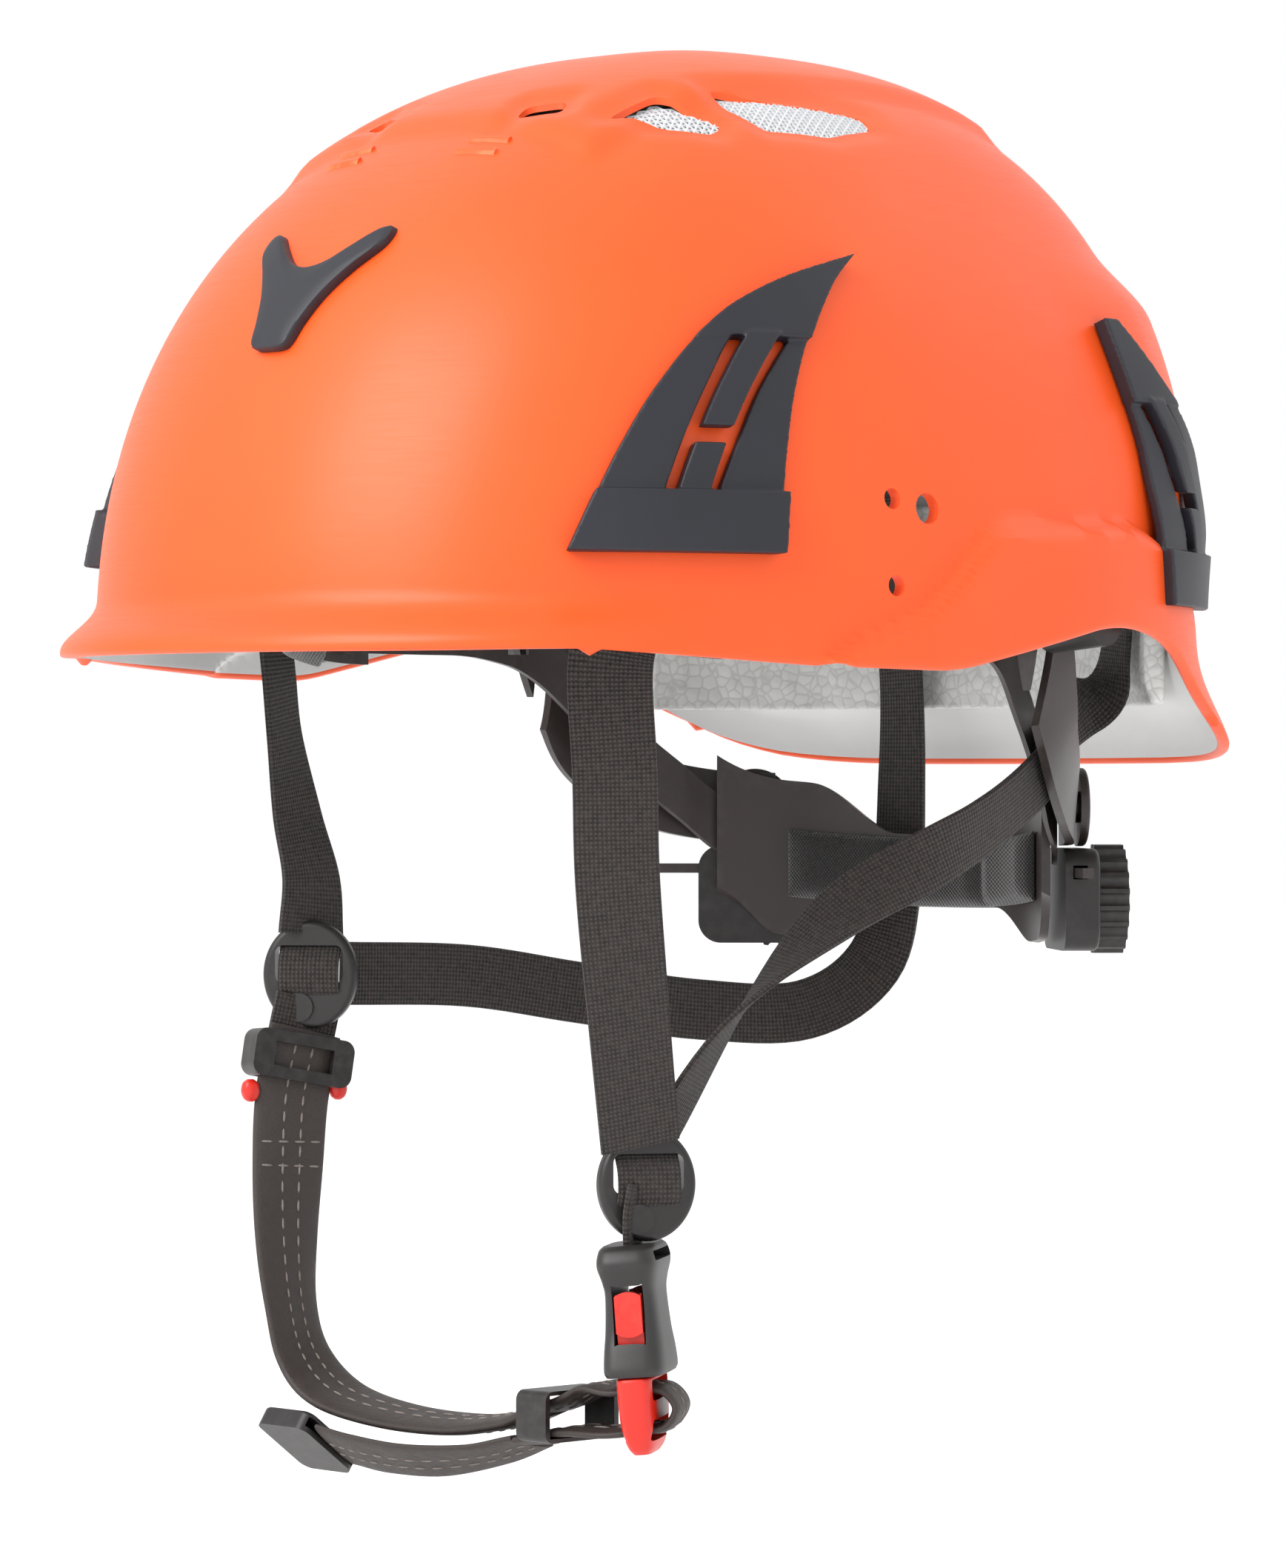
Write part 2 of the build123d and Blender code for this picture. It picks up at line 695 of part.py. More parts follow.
def make_tongue():
    body = Pos(0, 0, 40.5) * Box(28, 9.4, 19)
    for side in (-1, 1):
        body -= Pos(side * 14, 0, 52) * Rot(0, side * 40, 0) * Box(14, 12, 9)
    body += Pos(0, 0, 25) * Box(9, 6.6, 14)
    body -= Pos(0, 0, 34.5) * Box(21.5, 12, 5.0)
    body -= Pos(0, 0, 44.0) * Box(21.5, 12, 5.0)
    return buckle_plane() * body


def make_prong(side):
    """Sprung side arm of the tongue, with the oval that shows in the body's window."""
    arm = Pos(side * 9.6, 0, 21.0) * Box(2.4, 6.4, 19.0)
    oval = Pos(side * 10.7, 0, 16.2) * Rot(0, 90, 0) * Cylinder(5.4, 3.0)
    oval &= Pos(side * 10.7, 0, 16.2) * Box(5, 6.4, 12)
    return buckle_plane() * (arm + oval)


def make_buckle_loop():
    """Short webbing loop between the left divider and the buckle's top bar."""
    spots = [(52.6, -58.8, -127.0), (51.3, -59.5, -134), (50.2, -58.7, -142.5)]
    wide = [(0.5, -0.86, 0), (0.53, -0.85, 0), (0.559, -0.829, 0)]
    return strap(spots, wide, 17.0, 2.0)


def make_chin_strap():
    path = [(-66.5, -56.5, -94), (-67.5, -60, -110), (-68, -61, -127), (-67.5, -62, -145),
            (-66, -62, -162), (-61, -62, -175), (-49, -62, -184), (-28, -61.5, -188),
            (-4, -61, -188.5), (14, -60.5, -186), (22.5, -60.3, -183.2)]
    wide = [(0.3, 0.95, 0), (0.33, 0.94, 0), (0.25, 0.97, 0), (0.05, 1, 0),
            (-0.15, 1, 0), (-0.15, 1, 0.1), (0, 1, 0.1), (0, 1, 0.1), (0, 1, 0.1), (0, 1, 0.1), (0, 1, 0.1)]
    return strap(path, wide, WEB_W, 2.6)


def tongue_point(y, z):
    spot = buckle_plane() * Pos(0, y, z)
    return (spot.position.X, spot.position.Y, spot.position.Z)


def make_chin_loop():
    """End of the chin strap: through the tongue, round its bar and back."""
    path = [(24, -60.2, -182.6), (32, -60.1, -180.0), (40, -60.3, -176.5), tongue_point(5.5, 34.7),
            tongue_point(0, 34.4), tongue_point(-6.0, 35.0), tongue_point(-9.0, 39.3),
            tongue_point(-6.0, 43.6), tongue_point(0, 44.1), tongue_point(7, 44.6),
            (34, -61.3, -187.2), (22, -62.6, -190.3)]
    wide = [(0, -1, 0), (0.1, -0.98, 0), (0.3, -0.95, 0)]
    wide += [tuple(BUCKLE_W)] * 7
    wide += [(0.2, -0.98, 0), (0, -1, 0.05)]
    return strap(path, wide, 19.0, 2.0)


def make_tail():
    path = [(20.5, -62.9, -190.6), (8, -66, -194.5), (-10, -69.5, -197), (-27, -71.5, -196.5),
            (-39, -72, -195)]
    wide = [(0, -1, 0.1), (0, -0.97, 0.25), (0, -0.9, 0.45), (0, -0.85, 0.55), (0, -0.83, 0.58)]
    return strap(path, wide, 19.0, 1.8)


def make_end_clip():
    plane = Plane(origin=(-48.5, -72.2, -194.4), x_dir=(-1, 0, 0.06), z_dir=(0, 0.58, 0.83))
    body = Box(17, 22, 5.2)
    body = fillet(body.edges().filter_by(Axis.Z), 3)
    body = fillet(body.faces().sort_by(Axis.Z)[-1].edges(), 1.0)
    body -= Pos(-7, 0, 0) * Box(8, 20, 2.6)
    return plane * body


def make_keeper():
    """Sleeve that holds the returning strap to the run above it."""
    plane = Plane(origin=(30.5, -60.8, -183.4), x_dir=(1, 0, 0.33), z_dir=(0, 0, 1))
    body = Box(10, 25, 12.4)
    body = fillet(body.edges().filter_by(Axis.X), 2.5)
    body -= Box(14, 22, 10.4)
    return plane * body


def make_side_frame():
    """Fixed slider on the right: side cheeks and a bar under the divider."""
    body = Box(27, 8, 12)
    body = fillet(body.edges().filter_by(Axis.Y), 3)
    body -= Box(21.4, 4.6, 20)
    body -= Box(16.0, 12, 6.0)
    plane = Plane(origin=(-67.1, -58.4, -101.0), x_dir=(0.33, 0.94, 0), z_dir=(0, 0.19, 1))
    return plane * body


# ---------------------------------------------------------------- assembly

def both(parts, name, solid):
    parts[name + "_left"] = solid
    parts[name + "_right"] = mirrored(solid)


def build():
    parts = {}
    parts["shell"] = make_shell()
    parts["eps_liner"] = make_liner()
    parts["rear_foam"] = make_rear_foam()
    parts["crown_pad"] = make_crown_pad()
    both(parts, "vent_mesh", make_vent_mesh())
    parts["front_badge"] = make_badge()
    both(parts, "clip_front", make_clip(False))
    both(parts, "clip_rear", make_clip(True))
    parts["headband"] = make_headband()
    parts["brow_pad"] = make_brow_pad()
    both(parts, "temple_disc", make_temple_disc())
    both(parts, "side_band", make_side_band())
    parts["nape_cradle"] = make_cradle()
    parts["nape_pad"] = make_nape_pad()
    both(parts, "ratchet_housing", make_housing())
    both(parts, "ratchet_knob", make_knob())
    both(parts, "pinion", make_pinion())
    both(parts, "rack", make_rack())
    both(parts, "nape_arm", make_arm())
    both(parts, "snap_disc", make_snap_disc())
    both(parts, "arm_peg", make_peg())
    parts["front_strap_left"] = make_front_strap_left()
    parts["front_strap_right"] = make_front_strap_right()
    parts["rear_strap_left"] = make_rear_strap_left()
    parts["rear_strap_right"] = make_rear_strap_right()
    parts["anchor_front_left"] = make_anchor(84, -72.5, 72)
    parts["anchor_front_right"] = make_anchor(-84, -63.5, 101)
    parts["anchor_rear_left"] = make_anchor(67.8, 99, 145)
    parts["anchor_rear_right"] = make_anchor(-25.7, 111.5, -6)
    parts["divider_left"] = make_divider(LEFT_DIVIDER, 60, 0)
    parts["divider_right"] = make_divider(RIGHT_DIVIDER, 70, -35)
    parts["buckle_body"] = make_buckle_body()
    parts["buckle_loop"] = make_buckle_loop()
    parts["buckle_tongue"] = make_tongue()
    parts["release_prong_front"] = make_prong(1)
    parts["release_prong_rear"] = make_prong(-1)
    parts["side_frame"] = make_side_frame()
    parts["chin_strap"] = make_chin_strap()
    parts["chin_strap_loop"] = make_chin_loop()
    parts["chin_strap_tail"] = make_tail()
    parts["strap_keeper"] = make_keeper()
    parts["strap_end_clip"] = make_end_clip()
    return parts


os.makedirs("parts", exist_ok=True)
for node, solid in build().items():
    export_step(solid, os.path.join("parts", node + ".step"))
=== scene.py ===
import json
import math

import bmesh
import bpy
import numpy as np
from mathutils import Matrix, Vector


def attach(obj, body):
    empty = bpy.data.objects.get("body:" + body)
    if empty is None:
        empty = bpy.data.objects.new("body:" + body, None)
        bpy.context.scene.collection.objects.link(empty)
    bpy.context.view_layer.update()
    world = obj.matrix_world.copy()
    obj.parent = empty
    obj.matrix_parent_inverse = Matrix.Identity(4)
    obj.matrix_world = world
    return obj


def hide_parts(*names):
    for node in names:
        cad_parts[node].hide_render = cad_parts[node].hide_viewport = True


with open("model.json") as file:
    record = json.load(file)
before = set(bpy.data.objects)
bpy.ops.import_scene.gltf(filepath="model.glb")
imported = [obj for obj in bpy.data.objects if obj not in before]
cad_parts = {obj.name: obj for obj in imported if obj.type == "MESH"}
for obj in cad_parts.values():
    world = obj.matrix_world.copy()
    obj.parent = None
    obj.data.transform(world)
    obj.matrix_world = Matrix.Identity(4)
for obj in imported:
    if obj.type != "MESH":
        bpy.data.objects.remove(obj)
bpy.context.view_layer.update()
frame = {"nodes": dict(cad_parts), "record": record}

# Lengths are millimetres, and MM turns them into Blender's metres. +Z up, front -Y, the wearer's left
# +X. Lights, and the scales and distances in materials that say nothing else, are in metres.
MM = 0.001

# ---------------------------------------------------------------- camera, light, floor

VIEW_TURN = math.radians(44.0)
VIEW_DISTANCE = 1600.0
VIEW_HEIGHT = -32.1
VIEW_SLIDE = -2.15
LENS = 146.6
SENSOR = 36.0
FLOOR_Z = -230.0


def make_camera():
    data = bpy.data.cameras.new("camera")
    data.lens = LENS
    data.sensor_width = SENSOR
    data.clip_end = 50.0
    data.dof.use_dof = False
    cam = bpy.data.objects.new("camera", data)
    out = Vector((math.sin(VIEW_TURN), -math.cos(VIEW_TURN), 0))
    right = Vector((math.cos(VIEW_TURN), math.sin(VIEW_TURN), 0))
    spot = out * VIEW_DISTANCE + right * VIEW_SLIDE
    cam.location = (spot.x * MM, spot.y * MM, VIEW_HEIGHT * MM)
    cam.rotation_euler = (math.pi / 2, 0, VIEW_TURN)
    bpy.context.scene.collection.objects.link(cam)
    bpy.context.scene.camera = cam


def make_light(name, spot, size, power):
    data = bpy.data.lights.new(name, "AREA")
    data.size = size
    data.energy = power
    lamp = bpy.data.objects.new(name, data)
    lamp.location = spot
    lamp.rotation_euler = (Vector((0, 0, 0)) - Vector(spot)).to_track_quat("-Z", "Y").to_euler()
    bpy.context.scene.collection.objects.link(lamp)


def make_stage():
    world = bpy.data.worlds.new("studio")
    world.use_nodes = True
    sky = world.node_tree.nodes["Background"]
    sky.inputs["Color"].default_value = (1, 1, 1, 1)
    sky.inputs["Strength"].default_value = 1.0
    bpy.context.scene.world = world
    bpy.context.scene.view_settings.view_transform = "Standard"
    make_light("key", (-0.15, -1.7, 1.2), 1.5, 40)
    make_light("fill", (1.9, -0.9, 0.2), 1.6, 1.0)
    make_light("rim", (0.7, 1.5, 1.2), 1.0, 2)
    bpy.ops.mesh.primitive_plane_add(size=14, location=(0, 0, FLOOR_Z * MM))
    floor = bpy.context.object
    floor.name = "floor"
    mat = bpy.data.materials.new("floor_paper")
    mat.use_nodes = True
    shader = mat.node_tree.nodes["Principled BSDF"]
    shader.inputs["Base Color"].default_value = (0.90, 0.90, 0.90, 1)
    shader.inputs["Roughness"].default_value = 0.9
    shader.inputs["Emission Color"].default_value = (1, 1, 1, 1)
    shader.inputs["Emission Strength"].default_value = 0.14
    floor.data.materials.append(mat)


# ---------------------------------------------------------------- node helpers

class Graph:
    """Short calls for building a material's nodes."""

    def __init__(self, name):
        self.mat = bpy.data.materials.new(name)
        self.mat.use_nodes = True
        self.nodes = self.mat.node_tree.nodes
        self.links = self.mat.node_tree.links
        self.shader = self.nodes["Principled BSDF"]

    def plug(self, target, value):
        if isinstance(value, bpy.types.NodeSocket):
            self.links.new(value, target)
        elif value is not None:
            target.default_value = value

    def math(self, kind, a, b=None):
        node = self.nodes.new("ShaderNodeMath")
        node.operation = kind
        for socket, value in zip(node.inputs, (a, b)):
            self.plug(socket, value)
        return node.outputs[0]

    def coords(self, kind="Object"):
        return self.nodes.new("ShaderNodeTexCoord").outputs[kind]

    def scaled(self, vector, scale):
        node = self.nodes.new("ShaderNodeMapping")
        self.plug(node.inputs["Vector"], vector)
        node.inputs["Scale"].default_value = scale
        return node.outputs[0]

    def noise(self, vector, scale, detail=4.0, rough=0.55):
        node = self.nodes.new("ShaderNodeTexNoise")
        self.plug(node.inputs["Vector"], vector)
        node.inputs["Scale"].default_value = scale
        node.inputs["Detail"].default_value = detail
        node.inputs["Roughness"].default_value = rough
        return node.outputs["Fac"]

    def cells(self, vector, scale, feature="F1"):
        node = self.nodes.new("ShaderNodeTexVoronoi")
        node.feature = feature
        self.plug(node.inputs["Vector"], vector)
        node.inputs["Scale"].default_value = scale
        return node.outputs["Distance"]

    def ramp(self, value, low, high, out_low=0.0, out_high=1.0):
        node = self.nodes.new("ShaderNodeMapRange")
        self.plug(node.inputs["Value"], value)
        node.inputs["From Min"].default_value = low
        node.inputs["From Max"].default_value = high
        node.inputs["To Min"].default_value = out_low
        node.inputs["To Max"].default_value = out_high
        return node.outputs[0]

    def mix(self, factor, a, b):
        node = self.nodes.new("ShaderNodeMix")
        node.data_type = "RGBA"
        self.plug(node.inputs["Factor"], factor)
        self.plug(node.inputs["A"], a if isinstance(a, bpy.types.NodeSocket) else (*a, 1))
        self.plug(node.inputs["B"], b if isinstance(b, bpy.types.NodeSocket) else (*b, 1))
        return node.outputs["Result"]

    def split(self, vector):
        node = self.nodes.new("ShaderNodeSeparateXYZ")
        self.plug(node.inputs[0], vector)
        return node.outputs

    def bump(self, height, strength, distance, before=None):
        node = self.nodes.new("ShaderNodeBump")
        self.plug(node.inputs["Height"], height)
        node.inputs["Strength"].default_value = strength
        node.inputs["Distance"].default_value = distance
        if before is not None:
            self.plug(node.inputs["Normal"], before)
        return node.outputs[0]

    def edge_wear(self, low=0.52, high=0.60):
        node = self.nodes.new("ShaderNodeNewGeometry")
        return self.ramp(node.outputs["Pointiness"], low, high)

    def finish(self, color, rough, normal=None, **plain):
        self.plug(self.shader.inputs["Base Color"], color)
        self.plug(self.shader.inputs["Roughness"], rough)
        if normal is not None:
            self.plug(self.shader.inputs["Normal"], normal)
        for name, value in plain.items():
            self.shader.inputs[name.replace("_", " ")].default_value = value
        return self.mat


def shell_paint():
    g = Graph("shell_orange")
    at = g.coords()
    cloud = g.noise(at, 9.0, 3.0)
    grain = g.noise(at, 900.0, 2.0)
    scratch = g.noise(g.scaled(at, (30, 30, 900)), 2.0, 8.0, 0.7)
    base = g.mix(g.ramp(cloud, 0.35, 0.65), (0.90, 0.086, 0.008), (0.95, 0.098, 0.011))
    worn = g.math("MULTIPLY", g.edge_wear(0.54, 0.64), g.ramp(g.noise(at, 160.0), 0.45, 0.7))
    color = g.mix(g.math("MULTIPLY", worn, 0.5), base, (0.98, 0.34, 0.16))
    rough = g.math("ADD", g.ramp(scratch, 0.4, 0.8, 0.36, 0.47), g.math("MULTIPLY", cloud, 0.06))
    normal = g.bump(grain, 0.10, 0.0002)
    normal = g.bump(g.ramp(scratch, 0.55, 0.8), 0.03, 0.0001, normal)
    return g.finish(color, rough, normal, Coat_Weight=0.05, Coat_Roughness=0.30, IOR=1.45)


def moulded(name, dark, light, rough=0.5, grain_scale=1400.0, wear=0.35, bump=0.12):
    """Moulded plastic: fine grain, faint cloudiness and lighter rubbed edges."""
    g = Graph(name)
    at = g.coords()
    cloud = g.noise(at, 30.0, 4.0)
    grain = g.noise(at, grain_scale, 2.0)
    base = g.mix(g.ramp(cloud, 0.3, 0.7), dark, light)
    rubbed = g.math("MULTIPLY", g.edge_wear(), g.ramp(g.noise(at, 300.0), 0.4, 0.65))
    pale = tuple(min(1.0, 0.05 + 2.2 * c) for c in light)
    color = g.mix(g.math("MULTIPLY", rubbed, wear), base, pale)
    value = g.math("ADD", g.math("MULTIPLY", cloud, 0.12), rough - 0.06)
    return g.finish(color, value, g.bump(grain, bump, 0.0002))


def webbing(name, dark, light, pitch=2.1):
    """Plain-woven webbing: ribs across, floats along. UV is in millimetres."""
    g = Graph(name)
    u, v, _ = g.split(g.coords("UV"))
    turn = 2 * math.pi / pitch
    a = g.math("SINE", g.math("MULTIPLY", g.math("ADD", u, v), turn))
    b = g.math("SINE", g.math("MULTIPLY", g.math("SUBTRACT", u, v), turn))
    weave = g.math("MULTIPLY", a, b)
    thread = g.noise(g.scaled(g.coords("UV"), (9.0, 1.2, 1)), 3.0, 3.0)
    # Painted shade: the weave's hollows are painted near black and its ridges lighter, so the light and
    # shade of the relief is put into the colour.
    weave_shade = g.ramp(weave, 0.0, 0.7)
    fuzz = g.noise(g.coords(), 700.0, 3.0)
    base = g.mix(weave_shade, dark, light)
    color = g.mix(g.ramp(fuzz, 0.35, 0.75, 0.0, 0.35), base, tuple(c * 1.6 for c in light))
    height = g.math("ADD", weave, g.math("MULTIPLY", thread, 0.5))
    return g.finish(color, 0.72, g.bump(height, 0.85, 0.0006), Sheen_Weight=0.06, Sheen_Roughness=0.5)


def leather(name, dark, light):
    g = Graph(name)
    at = g.coords()
    pebble = g.cells(at, 1500.0, "SMOOTH_F1")
    fold = g.noise(at, 420.0, 3.0)
    base = g.mix(g.ramp(fold, 0.35, 0.65), dark, light)
    color = g.mix(g.ramp(pebble, 0.2, 0.6, 0.12, 0.0), base, tuple(c * 0.7 for c in dark))
    normal = g.bump(pebble, 0.30, 0.0003)
    normal = g.bump(fold, 0.08, 0.0005, normal)
    return g.finish(color, g.ramp(fold, 0.3, 0.7, 0.52, 0.66), normal)


def knit(name, dark, light, pitch=1.1):
    """Brushed pad fabric with a fine knit."""
    g = Graph(name)
    x, y, z = g.split(g.coords())
    turn = 2000 * math.pi / pitch
    a = g.math("SINE", g.math("MULTIPLY", g.math("ADD", x, y), turn))
    b = g.math("SINE", g.math("MULTIPLY", z, turn))
    loops = g.math("MULTIPLY", a, b)
    fuzz = g.noise(g.coords(), 900.0, 4.0)
    # Painted shade: the colour darkens in the hollows of the knit loops and lightens on their tops, with
    # random tone from the fuzz noise.
    color = g.mix(g.ramp(g.math("ADD", loops, fuzz), 0.0, 1.4), dark, light)
    normal = g.bump(g.math("ADD", loops, fuzz), 0.5, 0.0004)
    return g.finish(color, 0.92, normal, Sheen_Weight=0.4)


def bead_foam():
    g = Graph("bead_foam")
    at = g.coords()
    bead = g.cells(at, 330.0)
    edge = g.cells(at, 330.0, "DISTANCE_TO_EDGE")
    tone = g.noise(at, 40.0)
    base = g.mix(g.ramp(tone, 0.3, 0.7), (0.66, 0.66, 0.65), (0.80, 0.80, 0.78))
    # Painted shade: grey darkening along the grooves between the beads, the same grooves that the bump below
    # sinks.
    color = g.mix(g.ramp(edge, 0.0, 0.12, 0.5, 0.0), base, (0.42, 0.42, 0.41))
    return g.finish(color, 0.7, g.bump(g.ramp(bead, 0.0, 0.8, 1.0, 0.0), 0.5, 0.0008))


def thread_finish(name, tone):
    g = Graph(name)
    twist = g.noise(g.coords(), 2600.0, 2.0)
    color = g.mix(g.ramp(twist, 0.35, 0.65), tuple(c * 0.6 for c in tone), tone)
    return g.finish(color, 0.8, g.bump(twist, 0.6, 0.0002))


def make_materials():
    return {
        "shell_orange": shell_paint(),
        "shell_inside": moulded("shell_inside", (0.74, 0.74, 0.73), (0.82, 0.82, 0.81), 0.6, 700.0, 0.1),
        "dark_plastic": moulded("clip_plastic", (0.009, 0.0095, 0.015), (0.013, 0.0135, 0.021),
                                0.50, 1400.0, 0.2),
        "ring_plastic": moulded("ring_plastic", (0.026, 0.019, 0.017), (0.034, 0.025, 0.023),
                                0.36, 900.0, 0.15),
        "buckle_grey": moulded("buckle_plastic", (0.013, 0.012, 0.012), (0.024, 0.022, 0.021), 0.42),
        "red_plastic": moulded("red_plastic", (0.55, 0.012, 0.006), (0.72, 0.022, 0.010), 0.34, 1200.0, 0.2),
        # strap_web: the first colour is the painted shade in the weave's hollows, the second is its lit
        # ridges.
        "strap_web": webbing("strap_web", (0.006, 0.004, 0.0035), (0.066, 0.050, 0.043)),
        "chin_leather": leather("chin_leather", (0.031, 0.022, 0.019), (0.039, 0.029, 0.025)),
        # pad_textile: the two colours are the knit's painted shade in its hollows and its lit loop tops.
        "pad_textile": knit("pad_textile", (0.006, 0.005, 0.005), (0.030, 0.027, 0.026)),
        "foam": bead_foam(),
        "mesh": moulded("vent_grille", (0.62, 0.63, 0.65), (0.74, 0.75, 0.77), 0.55),
        "thread": thread_finish("stitch_thread", (0.26, 0.22, 0.20)),
        "black_plastic": moulded("black_plastic", (0.010, 0.008, 0.008), (0.016, 0.013, 0.012),
                                 0.40, 1200.0, 0.2),
    }


# ---------------------------------------------------------------- mesh helpers

def add_mesh(name, verts, faces, mat, body):
    """Smooth-shaded mesh object from millimetre vertices, riding on a body."""
    data = bpy.data.meshes.new(name)
    data.from_pydata([tuple(float(c) * MM for c in p) for p in verts], [], faces)
    data.update()
    data.materials.append(mat)
    obj = bpy.data.objects.new(name, data)
    bpy.context.scene.collection.objects.link(obj)
    data.polygons.foreach_set("use_smooth", [True] * len(data.polygons))
    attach(obj, body)
    return obj


def recalc(obj):
    mesh = bmesh.new()
    mesh.from_mesh(obj.data)
    bmesh.ops.recalc_face_normals(mesh, faces=mesh.faces)
    mesh.to_mesh(obj.data)
    mesh.free()


def crease(obj, degrees=35.0):
    """Marks edges sharper than an angle, so smooth shading keeps them crisp."""
    mesh = bmesh.new()
    mesh.from_mesh(obj.data)
    limit = math.radians(degrees)
    for face in mesh.faces:
        face.smooth = True
    for edge in mesh.edges:
        edge.smooth = len(edge.link_faces) == 2 and edge.calc_face_angle(0) < limit
    mesh.to_mesh(obj.data)
    mesh.free()


def soften(obj, width, segments=2, angle=35.0):
    """Rounds an object's sharp edges with a bevel modifier."""
    mod = obj.modifiers.new("soft_edges", "BEVEL")
    mod.width = width * MM
    mod.segments = segments
    mod.limit_method = "ANGLE"
    mod.angle_limit = math.radians(angle)


def apply_modifiers(obj):
    graph = bpy.context.evaluated_depsgraph_get()
    data = bpy.data.meshes.new_from_object(obj.evaluated_get(graph))
    obj.modifiers.clear()
    obj.data = data


def grid_faces(rows, cols, wrap=False):
    faces = []
    for i in range(rows - 1):
        for j in range(cols if wrap else cols - 1):
            k = (j + 1) % cols
            faces.append((i * cols + j, i * cols + k, (i + 1) * cols + k, (i + 1) * cols + j))
    return faces


def border(rows, cols):
    """Vertex numbers of a grid's border, in order."""
    ring = list(range(cols))
    ring += [i * cols + cols - 1 for i in range(1, rows)]
    ring += [(rows - 1) * cols + j for j in range(cols - 2, -1, -1)]
    ring += [i * cols for i in range(rows - 2, 0, -1)]
    return ring


def smooth_at(values, k):
    """Catmull-Rom value of a list of vectors at k from 0 to 1."""
    n = len(values) - 1
    t = min(n - 1e-6, max(0.0, k * n))
    i = int(t)
    f = t - i
    b = values[i]
    c = values[i + 1]
    a = values[i - 1] if i > 0 else b * 2 - c
    d = values[i + 2] if i + 2 <= n else c * 2 - b
    slope_b = (c - a) * 0.5
    slope_c = (d - b) * 0.5
    one = b * (2 * f**3 - 3 * f**2 + 1) + slope_b * (f**3 - 2 * f**2 + f)
    return one + c * (3 * f**2 - 2 * f**3) + slope_c * (f**3 - f**2)


def ease(x):
    x = np.clip(x, 0.0, 1.0)
    return x * x * (3.0 - 2.0 * x)


def soft_table(values, places, x):
    """Piecewise-linear table with smoothed corners."""
    total = 0.0
    for shift in (-6.0, -3.0, 0.0, 3.0, 6.0):
        total = total + np.interp(x + shift, places, values)
    return total / 5.0


# ---------------------------------------------------------------- shell

HALF_W = 112.0
FRONT_L = 158.4
REAR_L = 121.6
Y_MID = 13.0
CROWN_H = 148.2
WALL = 3.0
EXP_PLAN = 2.47
EXP_SIDE = 2.40
EXP_FRONT = 2.10
EXP_REAR = 2.69
Z_SKIRT = 26.0
RIM_Y = [-150.0, -112.0, -50.0, -14.0, 6.0, 30.0, 42.0, 56.0, 70.0, 84.0, 96.0, 112.0, 124.0, 160.0]
RIM_Z = [0.0, -1.0, -3.5, -4.0, 0.0, 5.0, 7.5, 7.0, 4.0, -2.0, -10.0, -21.0, -25.0, -26.0]
FRONT_BRIM = 9.0
REAR_BRIM = 15.0
EAR_RAISE = 4.2
CROWN_RAISE = 3.0
FLANK_BULGE = 4.5
SHELL_GRID = 211
RIM_STEPS = 6
SKIRT_SHARE = 0.16
DISH_DEPTH = 1.9
DISH_WIDTH = 6.5
VENT_CORNER = 2.4
SIDE_HOLES = ((-31.0, 14.55, 2.5), (-31.0, 35.05, 2.5), (-20.0, 33.0, 3.7))
FLANK_SLOT = [(72.9, 38.0), (75.1, 38.0), (75.1, 46.0), (72.9, 46.0)]
FLANK_SLOT_CORNER = 0.8
VENTS = [
    [(24, -72), (34, -66), (31, -61), (22, -66)],
    [(46, -63), (62, -43), (60, -38), (46, -47)],
    [(50, -33), (65, -28), (69, -10), (66, 9), (61, 10), (56, -12)],
]


def signed_power(value, power):
    return np.sign(value) * np.abs(value) ** power


def dome_exp(theta):
    end = np.where(np.sin(theta) < 0, EXP_FRONT, EXP_REAR)
    return EXP_SIDE + (end - EXP_SIDE) * np.sin(theta) ** 2


def flank_bulge(theta, z):
    """Soft panel on each rear flank, where the rear lamp clip sits."""
    turn = np.abs(np.degrees(np.arctan2(np.sin(theta), np.abs(np.cos(theta)))) - 44.0)
    return FLANK_BULGE * ease((34.0 - turn) / 20.0) * ease((102.0 - z) / 17.0) * ease((z - 8.0) / 50.0)


def dome_at(theta, z, off=0.0):
    off = off + flank_bulge(theta, z)
    m = dome_exp(theta)
    height = CROWN_H + off
    rise = np.clip(np.maximum(0.0, z) / height, 0.0, 1.0)
    r = (1.0 - rise ** m) ** (1.0 / m)
    length = np.where(np.sin(theta) < 0, FRONT_L, REAR_L)
    x = (HALF_W + off) * signed_power(np.cos(theta), 2.0 / EXP_PLAN) * r
    y = (length + off) * signed_power(np.sin(theta), 2.0 / EXP_PLAN) * r + Y_MID
    return x, y


def outline_distance(points, x, y):
    """Signed distance to a polygon, negative inside."""
    best = np.full(np.shape(x), 1e9)
    inside = np.zeros(np.shape(x), bool)
    count = len(points)
    for i in range(count):
        ax, ay = points[i]
        bx, by = points[(i + 1) % count]
        k = np.clip(((x - ax) * (bx - ax) + (y - ay) * (by - ay)) / ((bx - ax) ** 2 + (by - ay) ** 2), 0, 1)
        best = np.minimum(best, np.hypot(x - ax - k * (bx - ax), y - ay - k * (by - ay)))
        crosses = ((ay > y) != (by > y)) & (x < (bx - ax) * (y - ay) / (by - ay + 1e-12) + ax)
        inside ^= crosses
    return np.where(inside, -best, best)


def ear_line(y):
    return soft_table([-14.0, 2.0, 9.0, 20.0, 31.0, 33.0, 26.0, 12.0, -10.0],
                      [-70.0, -46.0, -24.0, -11.0, 0.0, 57.0, 76.0, 96.0, 112.0], y)


